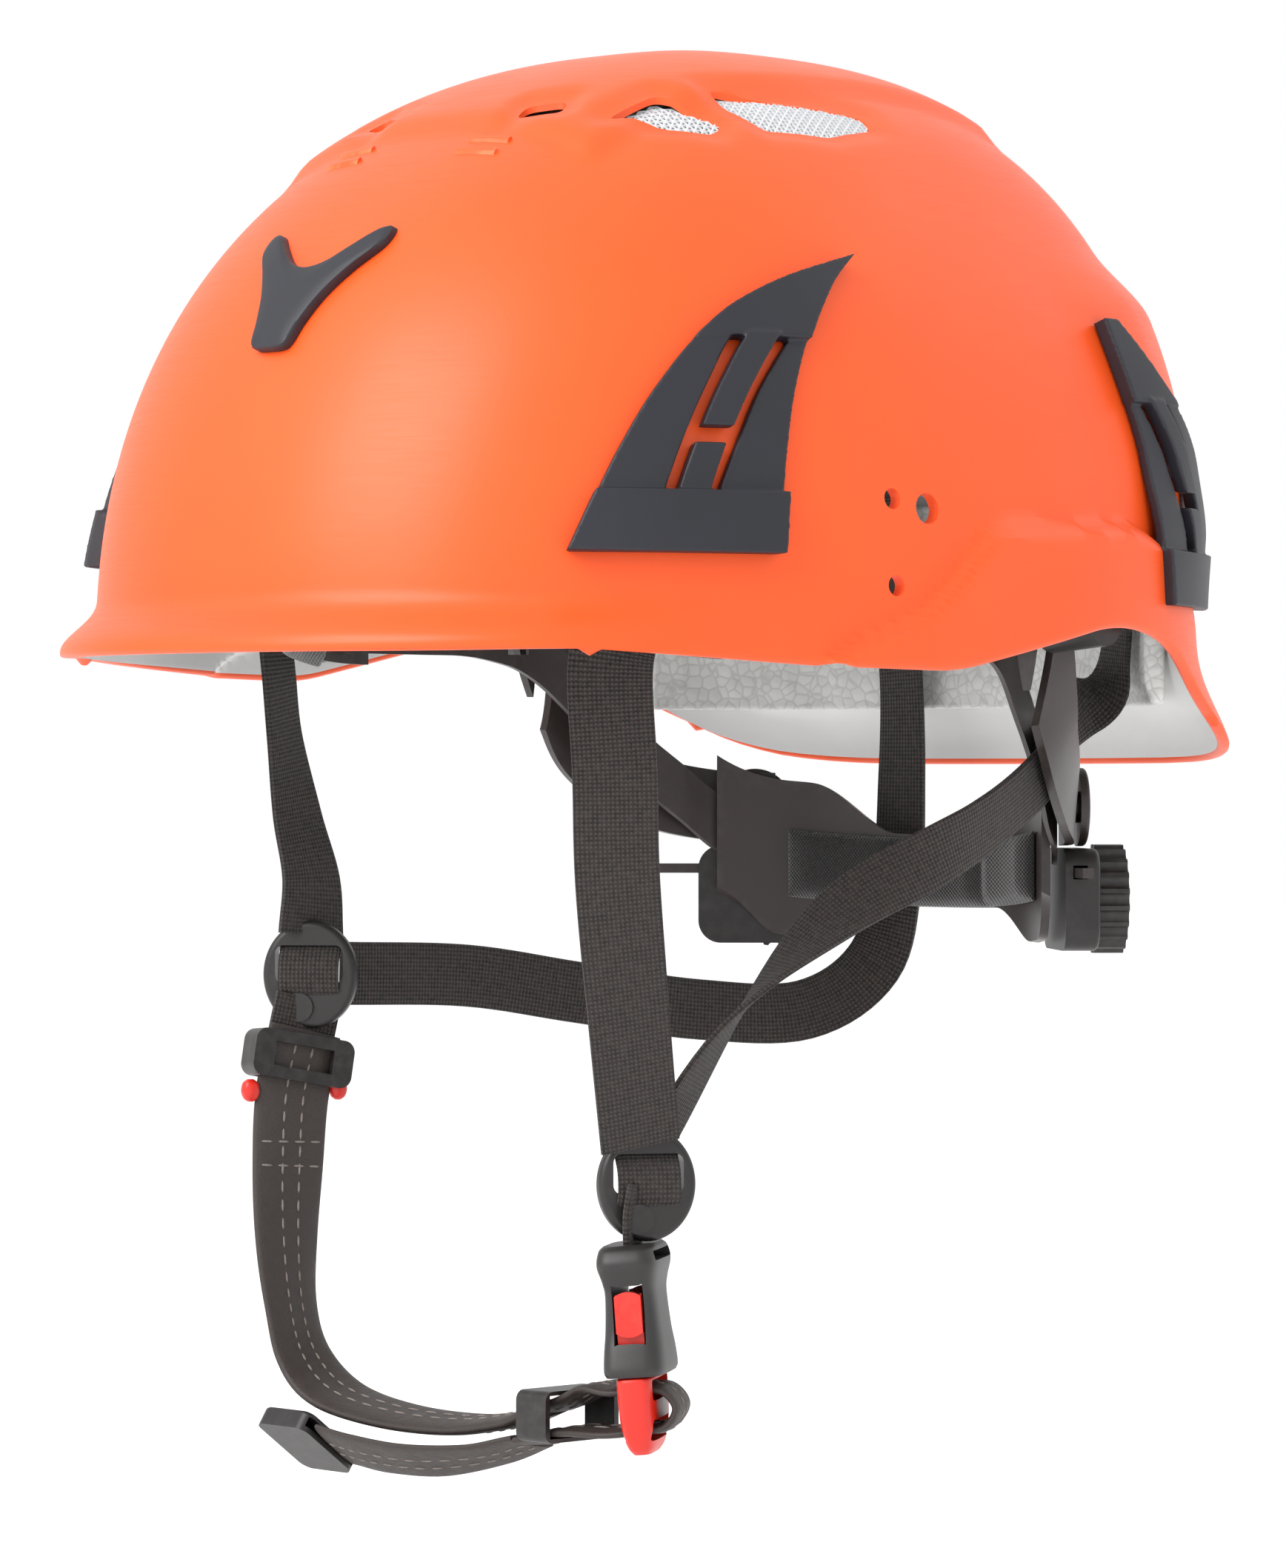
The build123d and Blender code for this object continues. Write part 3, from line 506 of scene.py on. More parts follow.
def shell_points(theta, z, off):
    """Shell surface; off is the offset from the outer face, negative inwards."""
    x, y = dome_at(theta, z, off)
    s = np.sin(theta)
    side = ease((np.abs(np.cos(theta)) - 0.15) / 0.3)
    out = EAR_RAISE * ease((ear_line(y) - z) / 4.2) * side
    front = FRONT_BRIM * ease((-s - 0.35) / 0.5) * ease((13.0 - z) / 13.0) ** 1.3
    rear = REAR_BRIM * ease((s - 0.45) / 0.5) * ease((4.0 - z) / 30.0)
    out = out + np.where(s < 0, front, rear)
    r = np.hypot(x, y - Y_MID) + 1e-9
    top = ease((55.0 - np.abs(x)) / 6.0) * ease((y + 78.0) / 6.0) * ease((74.0 - y) / 6.0)
    top = CROWN_RAISE * top * ease((z - 100.0) / 15.0)
    if off == 0.0:
        for outline in VENTS:
            d = outline_distance(outline, np.abs(x), y)
            top = top - DISH_DEPTH * ease((DISH_WIDTH - d) / DISH_WIDTH) * ease((z - 90.0) / 15.0)
    return np.stack([x + out * x / r, y + out * (y - Y_MID) / r, z + top], -1)


def rim_height(theta):
    return soft_table(RIM_Z, RIM_Y, dome_at(theta, 0.0)[1])


def shell_grid(count, off):
    """Square grid of points over the shell; its border is the rim."""
    a, b = np.meshgrid(np.linspace(-1, 1, count), np.linspace(-1, 1, count), indexing="ij")
    px = a * np.sqrt(1 - b * b / 2)
    py = b * np.sqrt(1 - a * a / 2)
    theta = np.arctan2(py, px)
    q = np.minimum(1.0, np.hypot(px, py))
    rim = rim_height(theta)
    m = dome_exp(theta)
    span = 1.0 - SKIRT_SHARE
    height = CROWN_H + off
    t_knee = np.arccos((Z_SKIRT / height) ** (m / 2))
    upper = height * np.maximum(0.0, np.cos(np.minimum(q / span, 1.0) * t_knee)) ** (2 / m)
    z = np.where(q <= span, upper, Z_SKIRT + (q - span) / (1 - span) * (rim - Z_SKIRT))
    return shell_points(theta, z, off)


def inner_step(index, count):
    """The grid neighbour one cell in from a border vertex."""
    i, j = divmod(index, count)
    i = min(max(i, 1), count - 2)
    j = min(max(j, 1), count - 2)
    return i * count + j


def rounded(points, radius, steps=5):
    """Polygon with its corners replaced by arcs."""
    out = []
    count = len(points)
    for i in range(count):
        p = Vector(points[i - 1])
        c = Vector(points[i])
        n = Vector(points[(i + 1) % count])
        a = (p - c).normalized()
        b = (n - c).normalized()
        for k in range(steps + 1):
            f = k / steps
            out.append(c + a * radius * (1 - f) ** 2 + b * radius * f ** 2)
    return out


def prism(points, frame_at, low, high):
    """Verts and faces of a prism; frame_at maps (a, b, h) to a point."""
    count = len(points)
    verts = [frame_at(p[0], p[1], low) for p in points] + [frame_at(p[0], p[1], high) for p in points]
    faces = [tuple(range(count - 1, -1, -1)), tuple(range(count, 2 * count))]
    for i in range(count):
        k = (i + 1) % count
        faces.append((i, k, count + k, count + i))
    return verts, faces


def circle(cx, cy, r, count=28):
    return [(cx + r * math.cos(2 * math.pi * i / count), cy + r * math.sin(2 * math.pi * i / count))
            for i in range(count)]


def cut_holes(obj, prisms):
    """Cuts a list of prisms from a closed mesh."""
    verts = []
    faces = []
    for part_verts, part_faces in prisms:
        base = len(verts)
        verts += part_verts
        faces += [tuple(base + i for i in f) for f in part_faces]
    data = bpy.data.meshes.new("cutter")
    data.from_pydata([tuple(c * MM for c in p) for p in verts], [], faces)
    data.materials.append(obj.data.materials[0])
    tool = bpy.data.objects.new("cutter", data)
    bpy.context.scene.collection.objects.link(tool)
    recalc(tool)
    mod = obj.modifiers.new("holes", "BOOLEAN")
    mod.operation = "DIFFERENCE"
    mod.solver = "EXACT"
    mod.object = tool
    apply_modifiers(obj)
    bpy.data.objects.remove(tool)


def make_shell(mats):
    """Shell with a rounded rim, a pale inside, cut vents, side holes and a slot in each rear flank."""
    count = SHELL_GRID
    outer = shell_grid(count, 0.0).reshape(-1, 3)
    inner = shell_grid(count, -WALL).reshape(-1, 3)
    verts = [tuple(p) for p in outer] + [tuple(p) for p in inner]
    faces = grid_faces(count, count)
    size = count * count
    faces += [tuple(size + i for i in reversed(f)) for f in grid_faces(count, count)]
    ring = border(count, count)
    rows = [ring]
    for k in range(1, RIM_STEPS):
        turn = math.pi * k / RIM_STEPS
        row = []
        for index in ring:
            a = outer[index]
            b = inner[index]
            down = a - outer[inner_step(index, count)]
            down = down / (np.linalg.norm(down) + 1e-9)
            half = (a - b) / 2
            spot = (a + b) / 2 + half * math.cos(turn) + down * (np.linalg.norm(half) * math.sin(turn))
            row.append(len(verts))
            verts.append(tuple(spot))
        rows.append(row)
    rows.append([size + i for i in ring])
    for upper, lower in zip(rows, rows[1:]):
        for i in range(len(ring)):
            k = (i + 1) % len(ring)
            faces.append((upper[i], lower[i], lower[k], upper[k]))
    shell = add_mesh("shell_outer", verts, faces, mats["shell_orange"], "helmet")
    shell.data.materials.append(mats["shell_inside"])
    cells = (count - 1) ** 2
    for poly in shell.data.polygons[cells:2 * cells]:
        poly.material_index = 1
    recalc(shell)
    prisms = []
    for side in (-1, 1):
        for outline in VENTS:
            pts = rounded([(side * x, y) for x, y in outline], VENT_CORNER)
            prisms.append(prism(pts, lambda a, b, h: (a, b, h), 60, 170))
        for y, z, r in SIDE_HOLES:
            prisms.append(prism(circle(y, z, r), lambda a, b, h, s=side: (s * h, a, b), 95, 125))
        slot = rounded(FLANK_SLOT, FLANK_SLOT_CORNER)
        prisms.append(prism(slot, lambda a, b, h, s=side: (s * h, a, b), 84, 110))
    cut_holes(shell, prisms)
    crease(shell, 38)
    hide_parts("shell")


# ---------------------------------------------------------------- points on the side of the shell

def theta_at(y, z):
    """Bearing on the wearer's left where the dome at height z reaches y."""
    low = -math.pi / 2
    high = math.pi / 2
    for _ in range(30):
        mid = (low + high) / 2
        if dome_at(mid, z)[1] < y:
            low = mid
        else:
            high = mid
    return (low + high) / 2


def side_point(y, z, off):
    """Point on the left side of the dome at y and z, off outside the surface."""
    here = np.array([*dome_at(theta_at(y, z), z), z])
    along = np.array([*dome_at(theta_at(y + 1.0, z), z), z])
    above = np.array([*dome_at(theta_at(y, z + 1.0), z + 1.0), z + 1.0])
    normal = np.cross(along - here, above - here)
    normal = normal / np.linalg.norm(normal)
    if normal[0] < 0:
        normal = -normal
    return here + normal * off


def closed_sheet(outer, inner, rows, cols):
    """Verts and faces of a closed slab between two point functions of u and v from 0 to 1."""
    verts = [outer(i / (rows - 1), j / (cols - 1)) for i in range(rows) for j in range(cols)]
    verts += [inner(i / (rows - 1), j / (cols - 1)) for i in range(rows) for j in range(cols)]
    size = rows * cols
    faces = grid_faces(rows, cols)
    faces += [tuple(size + i for i in reversed(f)) for f in faces]
    edge = border(rows, cols)
    for a, b in zip(edge, edge[1:] + edge[:1]):
        faces.append((a, size + a, size + b, b))
    return verts, faces


def join_parts(parts):
    verts = []
    faces = []
    for part_verts, part_faces in parts:
        base = len(verts)
        verts += list(part_verts)
        faces += [tuple(base + i for i in f) for f in part_faces]
    return verts, faces


def fused(obj, voxel, rounds, faces):
    """Melts overlapping closed slabs into one moulded skin with rounded edges."""
    recalc(obj)
    mod = obj.modifiers.new("melt", "REMESH")
    mod.mode = "VOXEL"
    mod.voxel_size = voxel * MM
    mod.use_smooth_shade = True
    relax = obj.modifiers.new("relax", "SMOOTH")
    relax.factor = 0.5
    relax.iterations = rounds
    apply_modifiers(obj)
    if len(obj.data.polygons) > faces:
        mod = obj.modifiers.new("thin", "DECIMATE")
        mod.ratio = faces / len(obj.data.polygons)
        apply_modifiers(obj)


# ---------------------------------------------------------------- headlamp clips

CLIP_H = [0.0, 0.17, 0.35, 0.56, 0.72, 0.83, 0.92, 1.0]
FRONT_CLIP_Z = (21.0, 91.5)
REAR_CLIP_Z = (12.0, 81.0)
FRONT_CLIP_BOW = [-111.6, -106.2, -99.3, -88.5, -77.0, -65.5, -50.5, -31.0]
FRONT_CLIP_BACK = [-65.2, -63.6, -61.0, -56.0, -49.8, -44.0, -38.0, -30.5]
REAR_CLIP_BOW = [108.0, 104.8, 99.0, 90.0, 78.5, 70.5, 64.5, 59.0]
REAR_CLIP_BACK = [68.0, 66.4, 64.2, 61.5, 58.5, 56.5, 55.0, 54.0]
BAND_TOP = 0.2
SLOT_H = [0.21, 0.375, 0.58, 0.72]
SLOT_A = [0.322, 0.326, 0.320, 0.285]
SLOT_B = [0.387, 0.398, 0.406, 0.400]
SLOT_C = [0.553, 0.584, 0.642, 0.690]
SLOT_D = [0.613, 0.663, 0.737, 0.820]
PANEL_OFF = 3.0
FULL_OFF = 4.5
BASE_OFF = 5.4
CLIP_SEAT = 0.4
LATCH_TOP = 0.72
STUB_TOP = 0.356
LATCH_FOOT = 0.408
CLIP_VOXEL = 0.42


def table_curve(values, places, x):
    """Smooth curve through a table's points."""
    slopes = np.gradient(values, places)
    i = min(max(int(np.searchsorted(places, x)) - 1, 0), len(places) - 2)
    step = places[i + 1] - places[i]
    f = min(1.0, max(0.0, (x - places[i]) / step))
    one = values[i] * (2 * f**3 - 3 * f**2 + 1) + slopes[i] * step * (f**3 - 2 * f**2 + f)
    return one + values[i + 1] * (3 * f**2 - 2 * f**3) + slopes[i + 1] * step * (f**3 - f**2)


def clip_place(h, k, off, rear):
    low, high = REAR_CLIP_Z if rear else FRONT_CLIP_Z
    y0 = table_curve(REAR_CLIP_BOW if rear else FRONT_CLIP_BOW, CLIP_H, h)
    y1 = table_curve(REAR_CLIP_BACK if rear else FRONT_CLIP_BACK, CLIP_H, h)
    lift = 1.6 * float(ease((0.5 - h) / 0.25)) if rear else 0.0
    return side_point(y0 + (y1 - y0) * k, low + (high - low) * h, off + lift)


def clip_slab(h0, h1, k0, k1, off0, off1, rear, rows=26, cols=12):
    """Slab between two heights; k0 and k1 are functions of the height."""
    def skin(off):
        def point(u, v):
            h = h0 + (h1 - h0) * u
            a = k0(h)
            return clip_place(h, a + (k1(h) - a) * v, off, rear)
        return point
    return closed_sheet(skin(off1), skin(off0), rows, cols)


def fixed(value):
    return lambda h: value


def along_slot(values):
    return lambda h: table_curve(values, SLOT_H, h)


def make_clip(name, rear, side, mats):
    """Lamp clip: foot band, two side panels, a stub and a latch between the slots, and the tip."""
    low = BAND_TOP - 0.02
    tip = LATCH_TOP - 0.012
    parts = [
        clip_slab(0.0, BAND_TOP, fixed(0.0), fixed(1.0), CLIP_SEAT, BASE_OFF, rear, 12, 22),
        clip_slab(low, LATCH_TOP, fixed(0.012), along_slot(SLOT_A), CLIP_SEAT, PANEL_OFF + 0.8, rear),
        clip_slab(low, LATCH_TOP, along_slot(SLOT_D), fixed(0.988), CLIP_SEAT, PANEL_OFF, rear),
        clip_slab(low, STUB_TOP, along_slot(SLOT_B), along_slot(SLOT_C), 0.6, FULL_OFF, rear, 12),
        clip_slab(LATCH_FOOT, LATCH_TOP, along_slot(SLOT_B), along_slot(SLOT_C), 1.4, FULL_OFF + 0.5, rear),
        clip_slab(tip, 1.0, fixed(0.0), fixed(1.0), CLIP_SEAT, FULL_OFF, rear),
    ]
    verts, faces = join_parts(parts)
    verts = [(side * p[0], p[1], p[2]) for p in verts]
    clip = add_mesh(name, verts, faces, mats["dark_plastic"], "helmet")
    fused(clip, CLIP_VOXEL, 4, 52000)
    return clip


def make_clips(mats):
    for label, side in (("left", 1), ("right", -1)):
        front = make_clip("lamp_clip_front_" + label, False, side, mats)
        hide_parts("clip_front_" + label)
        rear = make_clip("lamp_clip_rear_" + label, True, side, mats)
        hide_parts("clip_rear_" + label)


# ---------------------------------------------------------------- front badge

def brow_point(x, z, off):
    """Point on the front of the dome above x and z, off outside the surface."""
    low = -math.pi / 2
    high = 0.0
    for _ in range(30):
        mid = (low + high) / 2
        if dome_at(mid, z)[0] < abs(x):
            low = mid
        else:
            high = mid
    y = dome_at((low + high) / 2, z)[1]
    return np.array([x, y - off * 0.93, z + off * 0.3])


def badge_outline():
    """Generic three-armed plate: two arms up and out, a foot, and hollow flanks."""
    half = [(0.0, 90.0), (6.5, 91.4), (13.0, 95.6), (18.0, 99.0), (20.4, 98.6), (20.2, 94.6),
            (15.0, 89.0), (10.5, 83.0), (7.6, 76.5), (6.2, 71.4), (4.2, 70.0), (0.0, 69.8)]
    return [(-x, z) for x, z in reversed(half[1:])] + half[:-1]


BADGE_MIDDLE = Vector((0.0, 82.0))
BADGE_LEVELS = ((1.0, 0.2), (1.0, 2.0), (0.965, 2.7), (0.9, 3.0), (0.6, 3.25), (0.3, 3.35))
BADGE_FACE = 3.4


def make_badge(mats):
    """Plate through shrinking copies of its outline; each level is a scale and a height."""
    spots = [Vector(p) for p in badge_outline()]
    steps = 6 * len(spots)
    ring = []
    for i in range(steps):
        k = i / steps * len(spots)
        a = int(k)
        f = k - a
        p = [spots[(a + j - 1) % len(spots)] for j in range(4)]
        ring.append(0.5 * (2 * p[1] + (p[2] - p[0]) * f + (2 * p[0] - 5 * p[1] + 4 * p[2] - p[3]) * f * f
                           + (3 * p[1] - p[0] - 3 * p[2] + p[3]) * f ** 3))
    middle = BADGE_MIDDLE
    verts = []
    for scale, off in BADGE_LEVELS:
        for p in ring:
            q = middle + (p - middle) * scale
            verts.append(brow_point(q.x, q.y, off))
    faces = grid_faces(len(BADGE_LEVELS), steps, wrap=True)
    verts.append(brow_point(middle.x, middle.y, BADGE_FACE))
    verts.append(brow_point(middle.x, middle.y, BADGE_LEVELS[0][1]))
    last = (len(BADGE_LEVELS) - 1) * steps
    for i in range(steps):
        k = (i + 1) % steps
        faces.append((last + i, last + k, len(verts) - 2))
        faces.append((k, i, len(verts) - 1))
    badge = add_mesh("brow_badge", verts, faces, mats["dark_plastic"], "helmet")
    recalc(badge)
    crease(badge, 40)
    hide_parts("front_badge")


def make_marks(mats):
    """Two short raised bars on each side of the forehead, at the crown's front edge."""
    parts = []
    for side in (-1, 1):
        for row in (0, 1):
            def skin(off, side=side, row=row):
                def point(u, v):
                    edge = min(u, 1 - u, 0.25) * 4
                    y = -85.5 + 4.6 * row + 1.7 * u + 1.2 * v
                    p = crown_point(17.0 + 12.0 * v, y, off * edge ** 0.5)
                    return np.array([side * p[0], p[1], p[2]])
                return point
            parts.append(closed_sheet(skin(0.75), skin(-0.5), 9, 15))
    verts, faces = join_parts(parts)
    marks = add_mesh("brow_bars", verts, faces, mats["shell_orange"], "helmet")
    recalc(marks)
    crease(marks, 50)


# ---------------------------------------------------------------- ribbons: webbing and chin strap

def ribbon_frame(spots, turns, k):
    """Point, width direction and face direction of a strap at fraction k."""
    ahead = smooth_at(spots, k + 0.01) - smooth_at(spots, k - 0.01)
    ahead = ahead / np.linalg.norm(ahead)
    across = smooth_at(turns, k)
    across = across - ahead * np.dot(across, ahead)
    across = across / np.linalg.norm(across)
    return smooth_at(spots, k), across, np.cross(ahead, across)


def ribbon(name, path, wide, width, thick, mat, body, edge=0.35, crown=0.0, steps=8, sides=22):
    """Strap along a path; wide gives its width direction at each station. UV is in millimetres."""
    spots = [np.array(p, float) for p in path]
    turns = [np.array(w, float) / np.linalg.norm(w) for w in wide]
    rows = steps * (len(path) - 1) + 1
    ring = []
    for i in range(sides):
        a = 2 * math.pi * i / sides
        c = math.cos(a)
        s = math.sin(a)
        bulge = 1.0 + crown * (1 - abs(c) ** 1.5)
        ring.append((abs(c) ** 0.45 * math.copysign(1, c) * width / 2,
                     abs(s) ** edge * math.copysign(1, s) * thick / 2 * bulge))
    girth = [0.0]
    for a, b in zip(ring, ring[1:] + ring[:1]):
        girth.append(girth[-1] + math.hypot(b[0] - a[0], b[1] - a[1]))
    verts = []
    run = []
    for i in range(rows):
        spot, across, up = ribbon_frame(spots, turns, i / (rows - 1))
        run.append(run[-1] + np.linalg.norm(spot - last) if i else 0.0)
        last = spot
        for x, y in ring:
            verts.append(spot + across * x + up * y)
    faces = grid_faces(rows, sides, wrap=True)
    faces.append(tuple(range(sides - 1, -1, -1)))
    faces.append(tuple((rows - 1) * sides + i for i in range(sides)))
    obj = add_mesh(name, verts, faces, mat, body)
    layer = obj.data.uv_layers.new(name="UVMap")
    for poly in obj.data.polygons:
        cols = [v % sides for v in poly.vertices]
        seam = max(cols) == sides - 1 and min(cols) == 0 and len(cols) == 4
        for loop, v in zip(poly.loop_indices, poly.vertices):
            col = v % sides
            u = girth[sides] if seam and col == 0 else girth[col]
            layer.data[loop].uv = (u, run[v // sides])
    crease(obj, 60)
    return obj


def on_ribbon(path, wide, k, x, lift):
    """Point on a strap's path at fraction k, x across its width and lift out of its face."""
    spots = [np.array(p, float) for p in path]
    turns = [np.array(w, float) / np.linalg.norm(w) for w in wide]
    spot, across, up = ribbon_frame(spots, turns, k)
    return spot + across * x + up * lift


def stitches(name, runs, mat, body, length=2.6, gap=1.6, radius=0.28):
    """Thread stitches along lines; each line is a list of points in millimetres."""
    verts = []
    faces = []
    for line in runs:
        spots = [np.array(p, float) for p in line]
        total = sum(np.linalg.norm(b - a) for a, b in zip(spots, spots[1:]))
        count = max(1, int(total / (length + gap)))
        for i in range(count):
            start = (i + gap / (length + gap) / 2) / count
            stop = start + length / (length + gap) / count
            a = smooth_at(spots, start)
            b = smooth_at(spots, stop)
            ahead = (b - a) / np.linalg.norm(b - a)
            aside = np.cross(ahead, (0.3, 0.5, 0.81))
            aside = aside / np.linalg.norm(aside)
            up = np.cross(ahead, aside)
            base = len(verts)
            for f, r in ((0.0, 0.4), (0.2, 1.0), (0.5, 1.15), (0.8, 1.0), (1.0, 0.4)):
                for j in range(6):
                    turn = math.pi * j / 3
                    ring = aside * math.cos(turn) + up * math.sin(turn)
                    verts.append(a + (b - a) * f + ring * (radius * r))
            faces += [tuple(base + v for v in f) for f in grid_faces(5, 6, wrap=True)]
            faces.append(tuple(base + v for v in range(5, -1, -1)))
            faces.append(tuple(base + 24 + v for v in range(6)))
    add_mesh(name, verts, faces, mat, body)


WEB_W = 20.0
WEB_T = 1.8

FRONT_LEFT = (
    [(84, -72, 56), (81, -77, 34), (75, -85, 10), (72, -88.5, -4), (69, -84, -30),
     (66, -80, -55), (62, -72, -88), (57, -63, -118)],
    [(0.3, 0.95, 0), (0.5, 0.86, 0), (0.7, 0.7, 0), (0.72, 0.69, 0), (0.72, 0.69, 0),
     (0.68, 0.73, 0), (0.5, 0.87, 0), (0.4, 0.9, 0)],
)
FRONT_RIGHT = (
    [(-84, -64, 56), (-79, -63, 34), (-73.5, -61.5, 10), (-72, -60.5, -4), (-72, -58.5, -20),
     (-70.5, -55.5, -40), (-67.5, -53.5, -56), (-66.5, -54.5, -70)],
    [(-0.2, 0.98, 0), (-0.3, 0.95, 0), (-0.4, 0.92, 0), (-0.42, 0.91, 0), (-0.4, 0.92, 0),
     (-0.2, 0.98, 0), (-0.05, 1, 0), (0.1, 1, 0)],
)
REAR_LEFT = (
    [(68, 98, 54), (67, 103, 34), (64, 105.5, 10), (62, 104, -6), (60, 95, -13.5),
     (64.6, 81.4, -20), (74.8, 66.2, -27), (80.5, 50, -34), (87.5, 26, -42.5), (88.5, 6, -50),
     (80, -18, -63), (68, -42, -88), (55.5, -56.5, -118)],
    [(-0.8, 0.55, 0), (-0.8, 0.5, 0), (-0.85, 0.4, 0.1), (-0.6, 0.3, 0.6), (-0.1, 0.1, 1),
     (0, 0.1, 1), (0, 0.1, 1), (0, 0.2, 1), (0, 0.3, 1), (0, 0.4, 0.9),
     (-0.1, 0.6, 0.75), (-0.1, 0.8, 0.5), (-0.05, 0.98, 0.2)],
)
REAR_RIGHT = (
    [(-26, 110, 56), (-25, 116, 34), (-24, 119, 12), (-23, 120, -8), (-23, 120, -30),
     (-24, 119, -58), (-28, 114, -80), (-37, 97, -92), (-48, 68, -91.5), (-59, 34, -86.5),
     (-66, 0, -81.5), (-67.5, -43, -80)],
    [(1, -0.1, 0), (1, -0.1, 0), (1, -0.1, 0), (1, -0.1, 0), (1, 0, 0),
     (0.9, 0.1, -0.3), (0.5, 0.2, -0.8), (0.3, 0.1, -1), (0.1, 0, -1), (0, 0, -1),
     (0, 0, -1), (0, 0, -1)],
)
BUCKLE_LOOP = (
    [(52.6, -58.8, -127.0), (51.3, -59.5, -134), (50.2, -58.7, -142.5)],
    [(0.5, -0.86, 0), (0.53, -0.85, 0), (0.559, -0.829, 0)],
)
CHIN = (
    [(-66.5, -56.5, -94), (-67.5, -60, -110), (-68, -61, -127), (-67.5, -62, -145),
     (-66, -62, -162), (-61, -62, -175), (-49, -62, -184), (-28, -61.5, -188),
     (-4, -61, -188.5), (14, -60.5, -186), (22.5, -60.3, -183.2)],
    [(0.3, 0.95, 0), (0.33, 0.94, 0), (0.25, 0.97, 0), (0.05, 1, 0), (-0.15, 1, 0),
     (-0.15, 1, 0.1), (0, 1, 0.1), (0, 1, 0.1), (0, 1, 0.1), (0, 1, 0.1), (0, 1, 0.1)],
)
TAIL = (
    [(20.5, -62.9, -190.6), (8, -66, -194.5), (-10, -69.5, -197), (-27, -71.5, -196.5), (-39, -72, -195)],
    [(0, -1, 0.1), (0, -0.97, 0.25), (0, -0.9, 0.45), (0, -0.85, 0.55), (0, -0.83, 0.58)],
)

BUCKLE_AT = Vector((50.0, -58.5, -141.6))
BUCKLE_DOWN = Vector((0.06, 0.04, -1.0)).normalized()
BUCKLE_W = Vector((0.559, -0.829, 0.0))
BUCKLE_WIDE = (BUCKLE_W - BUCKLE_DOWN * BUCKLE_W.dot(BUCKLE_DOWN)).normalized()
BUCKLE_THROUGH = BUCKLE_DOWN.cross(BUCKLE_WIDE)


def buckle_spot(x, y, z):
    """Point in the buckle: x across its width, y through it and z down from its top."""
    return tuple(BUCKLE_AT + BUCKLE_WIDE * x + BUCKLE_THROUGH * y + BUCKLE_DOWN * z)


def chin_loop():
    """Path and width directions of the strap's turn through the tongue's two slots."""
    turn = ((5.5, 34.7), (0, 34.4), (-6.0, 35.0), (-9.0, 39.3), (-6.0, 43.6), (0, 44.1), (7, 44.6))
    path = [(24, -60.2, -182.6), (32, -60.1, -180.0), (40, -60.3, -176.5)]
    path += [buckle_spot(0, y, z) for y, z in turn]
    path += [(34, -61.3, -187.2), (22, -62.6, -190.3)]
    wide = [(0, -1, 0), (0.1, -0.98, 0), (0.3, -0.95, 0)]
    wide += [tuple(BUCKLE_W)] * len(turn)
    wide += [(0.2, -0.98, 0), (0, -1, 0.05)]
    return path, wide


def make_webbing(mats):
    web = mats["strap_web"]
    rows = (
        ("harness_front_left", FRONT_LEFT, WEB_W, WEB_T, "front_strap_left"),
        ("harness_front_right", FRONT_RIGHT, WEB_W, WEB_T, "front_strap_right"),
        ("harness_rear_left", REAR_LEFT, 15.0, WEB_T, "rear_strap_left"),
        ("harness_rear_right", REAR_RIGHT, 16.0, WEB_T, "rear_strap_right"),
        ("buckle_webbing", BUCKLE_LOOP, 17.0, 2.0, "buckle_loop"),
    )
    for name, (path, wide), width, thick, node in rows:
        strap = ribbon(name, path, wide, width, thick, web, "helmet", edge=0.3)
        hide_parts(node)


def make_chin(mats):
    skin = mats["chin_leather"]
    path, wide = CHIN
    strap = ribbon("chin_strap_padded", path, wide, WEB_W, 2.6, skin, "helmet",
                   edge=0.7, crown=0.35)
    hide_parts("chin_strap")
    loop_path, loop_wide = chin_loop()
    loop = ribbon("chin_strap_turn", loop_path, loop_wide, 19.0, 2.0, skin, "tongue",
                  edge=0.6, crown=0.15)
    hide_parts("chin_strap_loop")
    tail_path, tail_wide = TAIL
    tail = ribbon("chin_strap_end", tail_path, tail_wide, 19.0, 1.8, skin, "tongue",
                  edge=0.6, crown=0.25)
    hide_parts("chin_strap_tail")
    lines = []
    for x in (-2.4, 2.4):
        for lift in (-1.72, 1.72):
            lines.append([on_ribbon(path, wide, 0.02 + 0.96 * i / 40, x, lift) for i in range(41)])
    for k in (0.17, 0.205):
        for lift in (-1.75, 1.75):
            rise = [lift * (1.0 - 0.3 * abs(i / 4 - 1) ** 3) for i in range(9)]
            lines.append([on_ribbon(path, wide, k, -9 + 18 * i / 8, rise[i]) for i in range(9)])
    stitches("chin_strap_stitching", lines, mats["thread"], "helmet")
    lines = []
    for x in (-2.4, 2.4):
        for lift in (-1.1, 1.1):
            lines.append([on_ribbon(tail_path, tail_wide, i / 20, x, lift) for i in range(21)])
        for lift in (-1.15, 1.15):
            lines.append([on_ribbon(loop_path, loop_wide, 0.03 + 0.94 * i / 60, x, lift) for i in range(61)])
    stitches("chin_tail_stitching", lines, mats["thread"], "tongue")


# ---------------------------------------------------------------- chin buckle and dividers

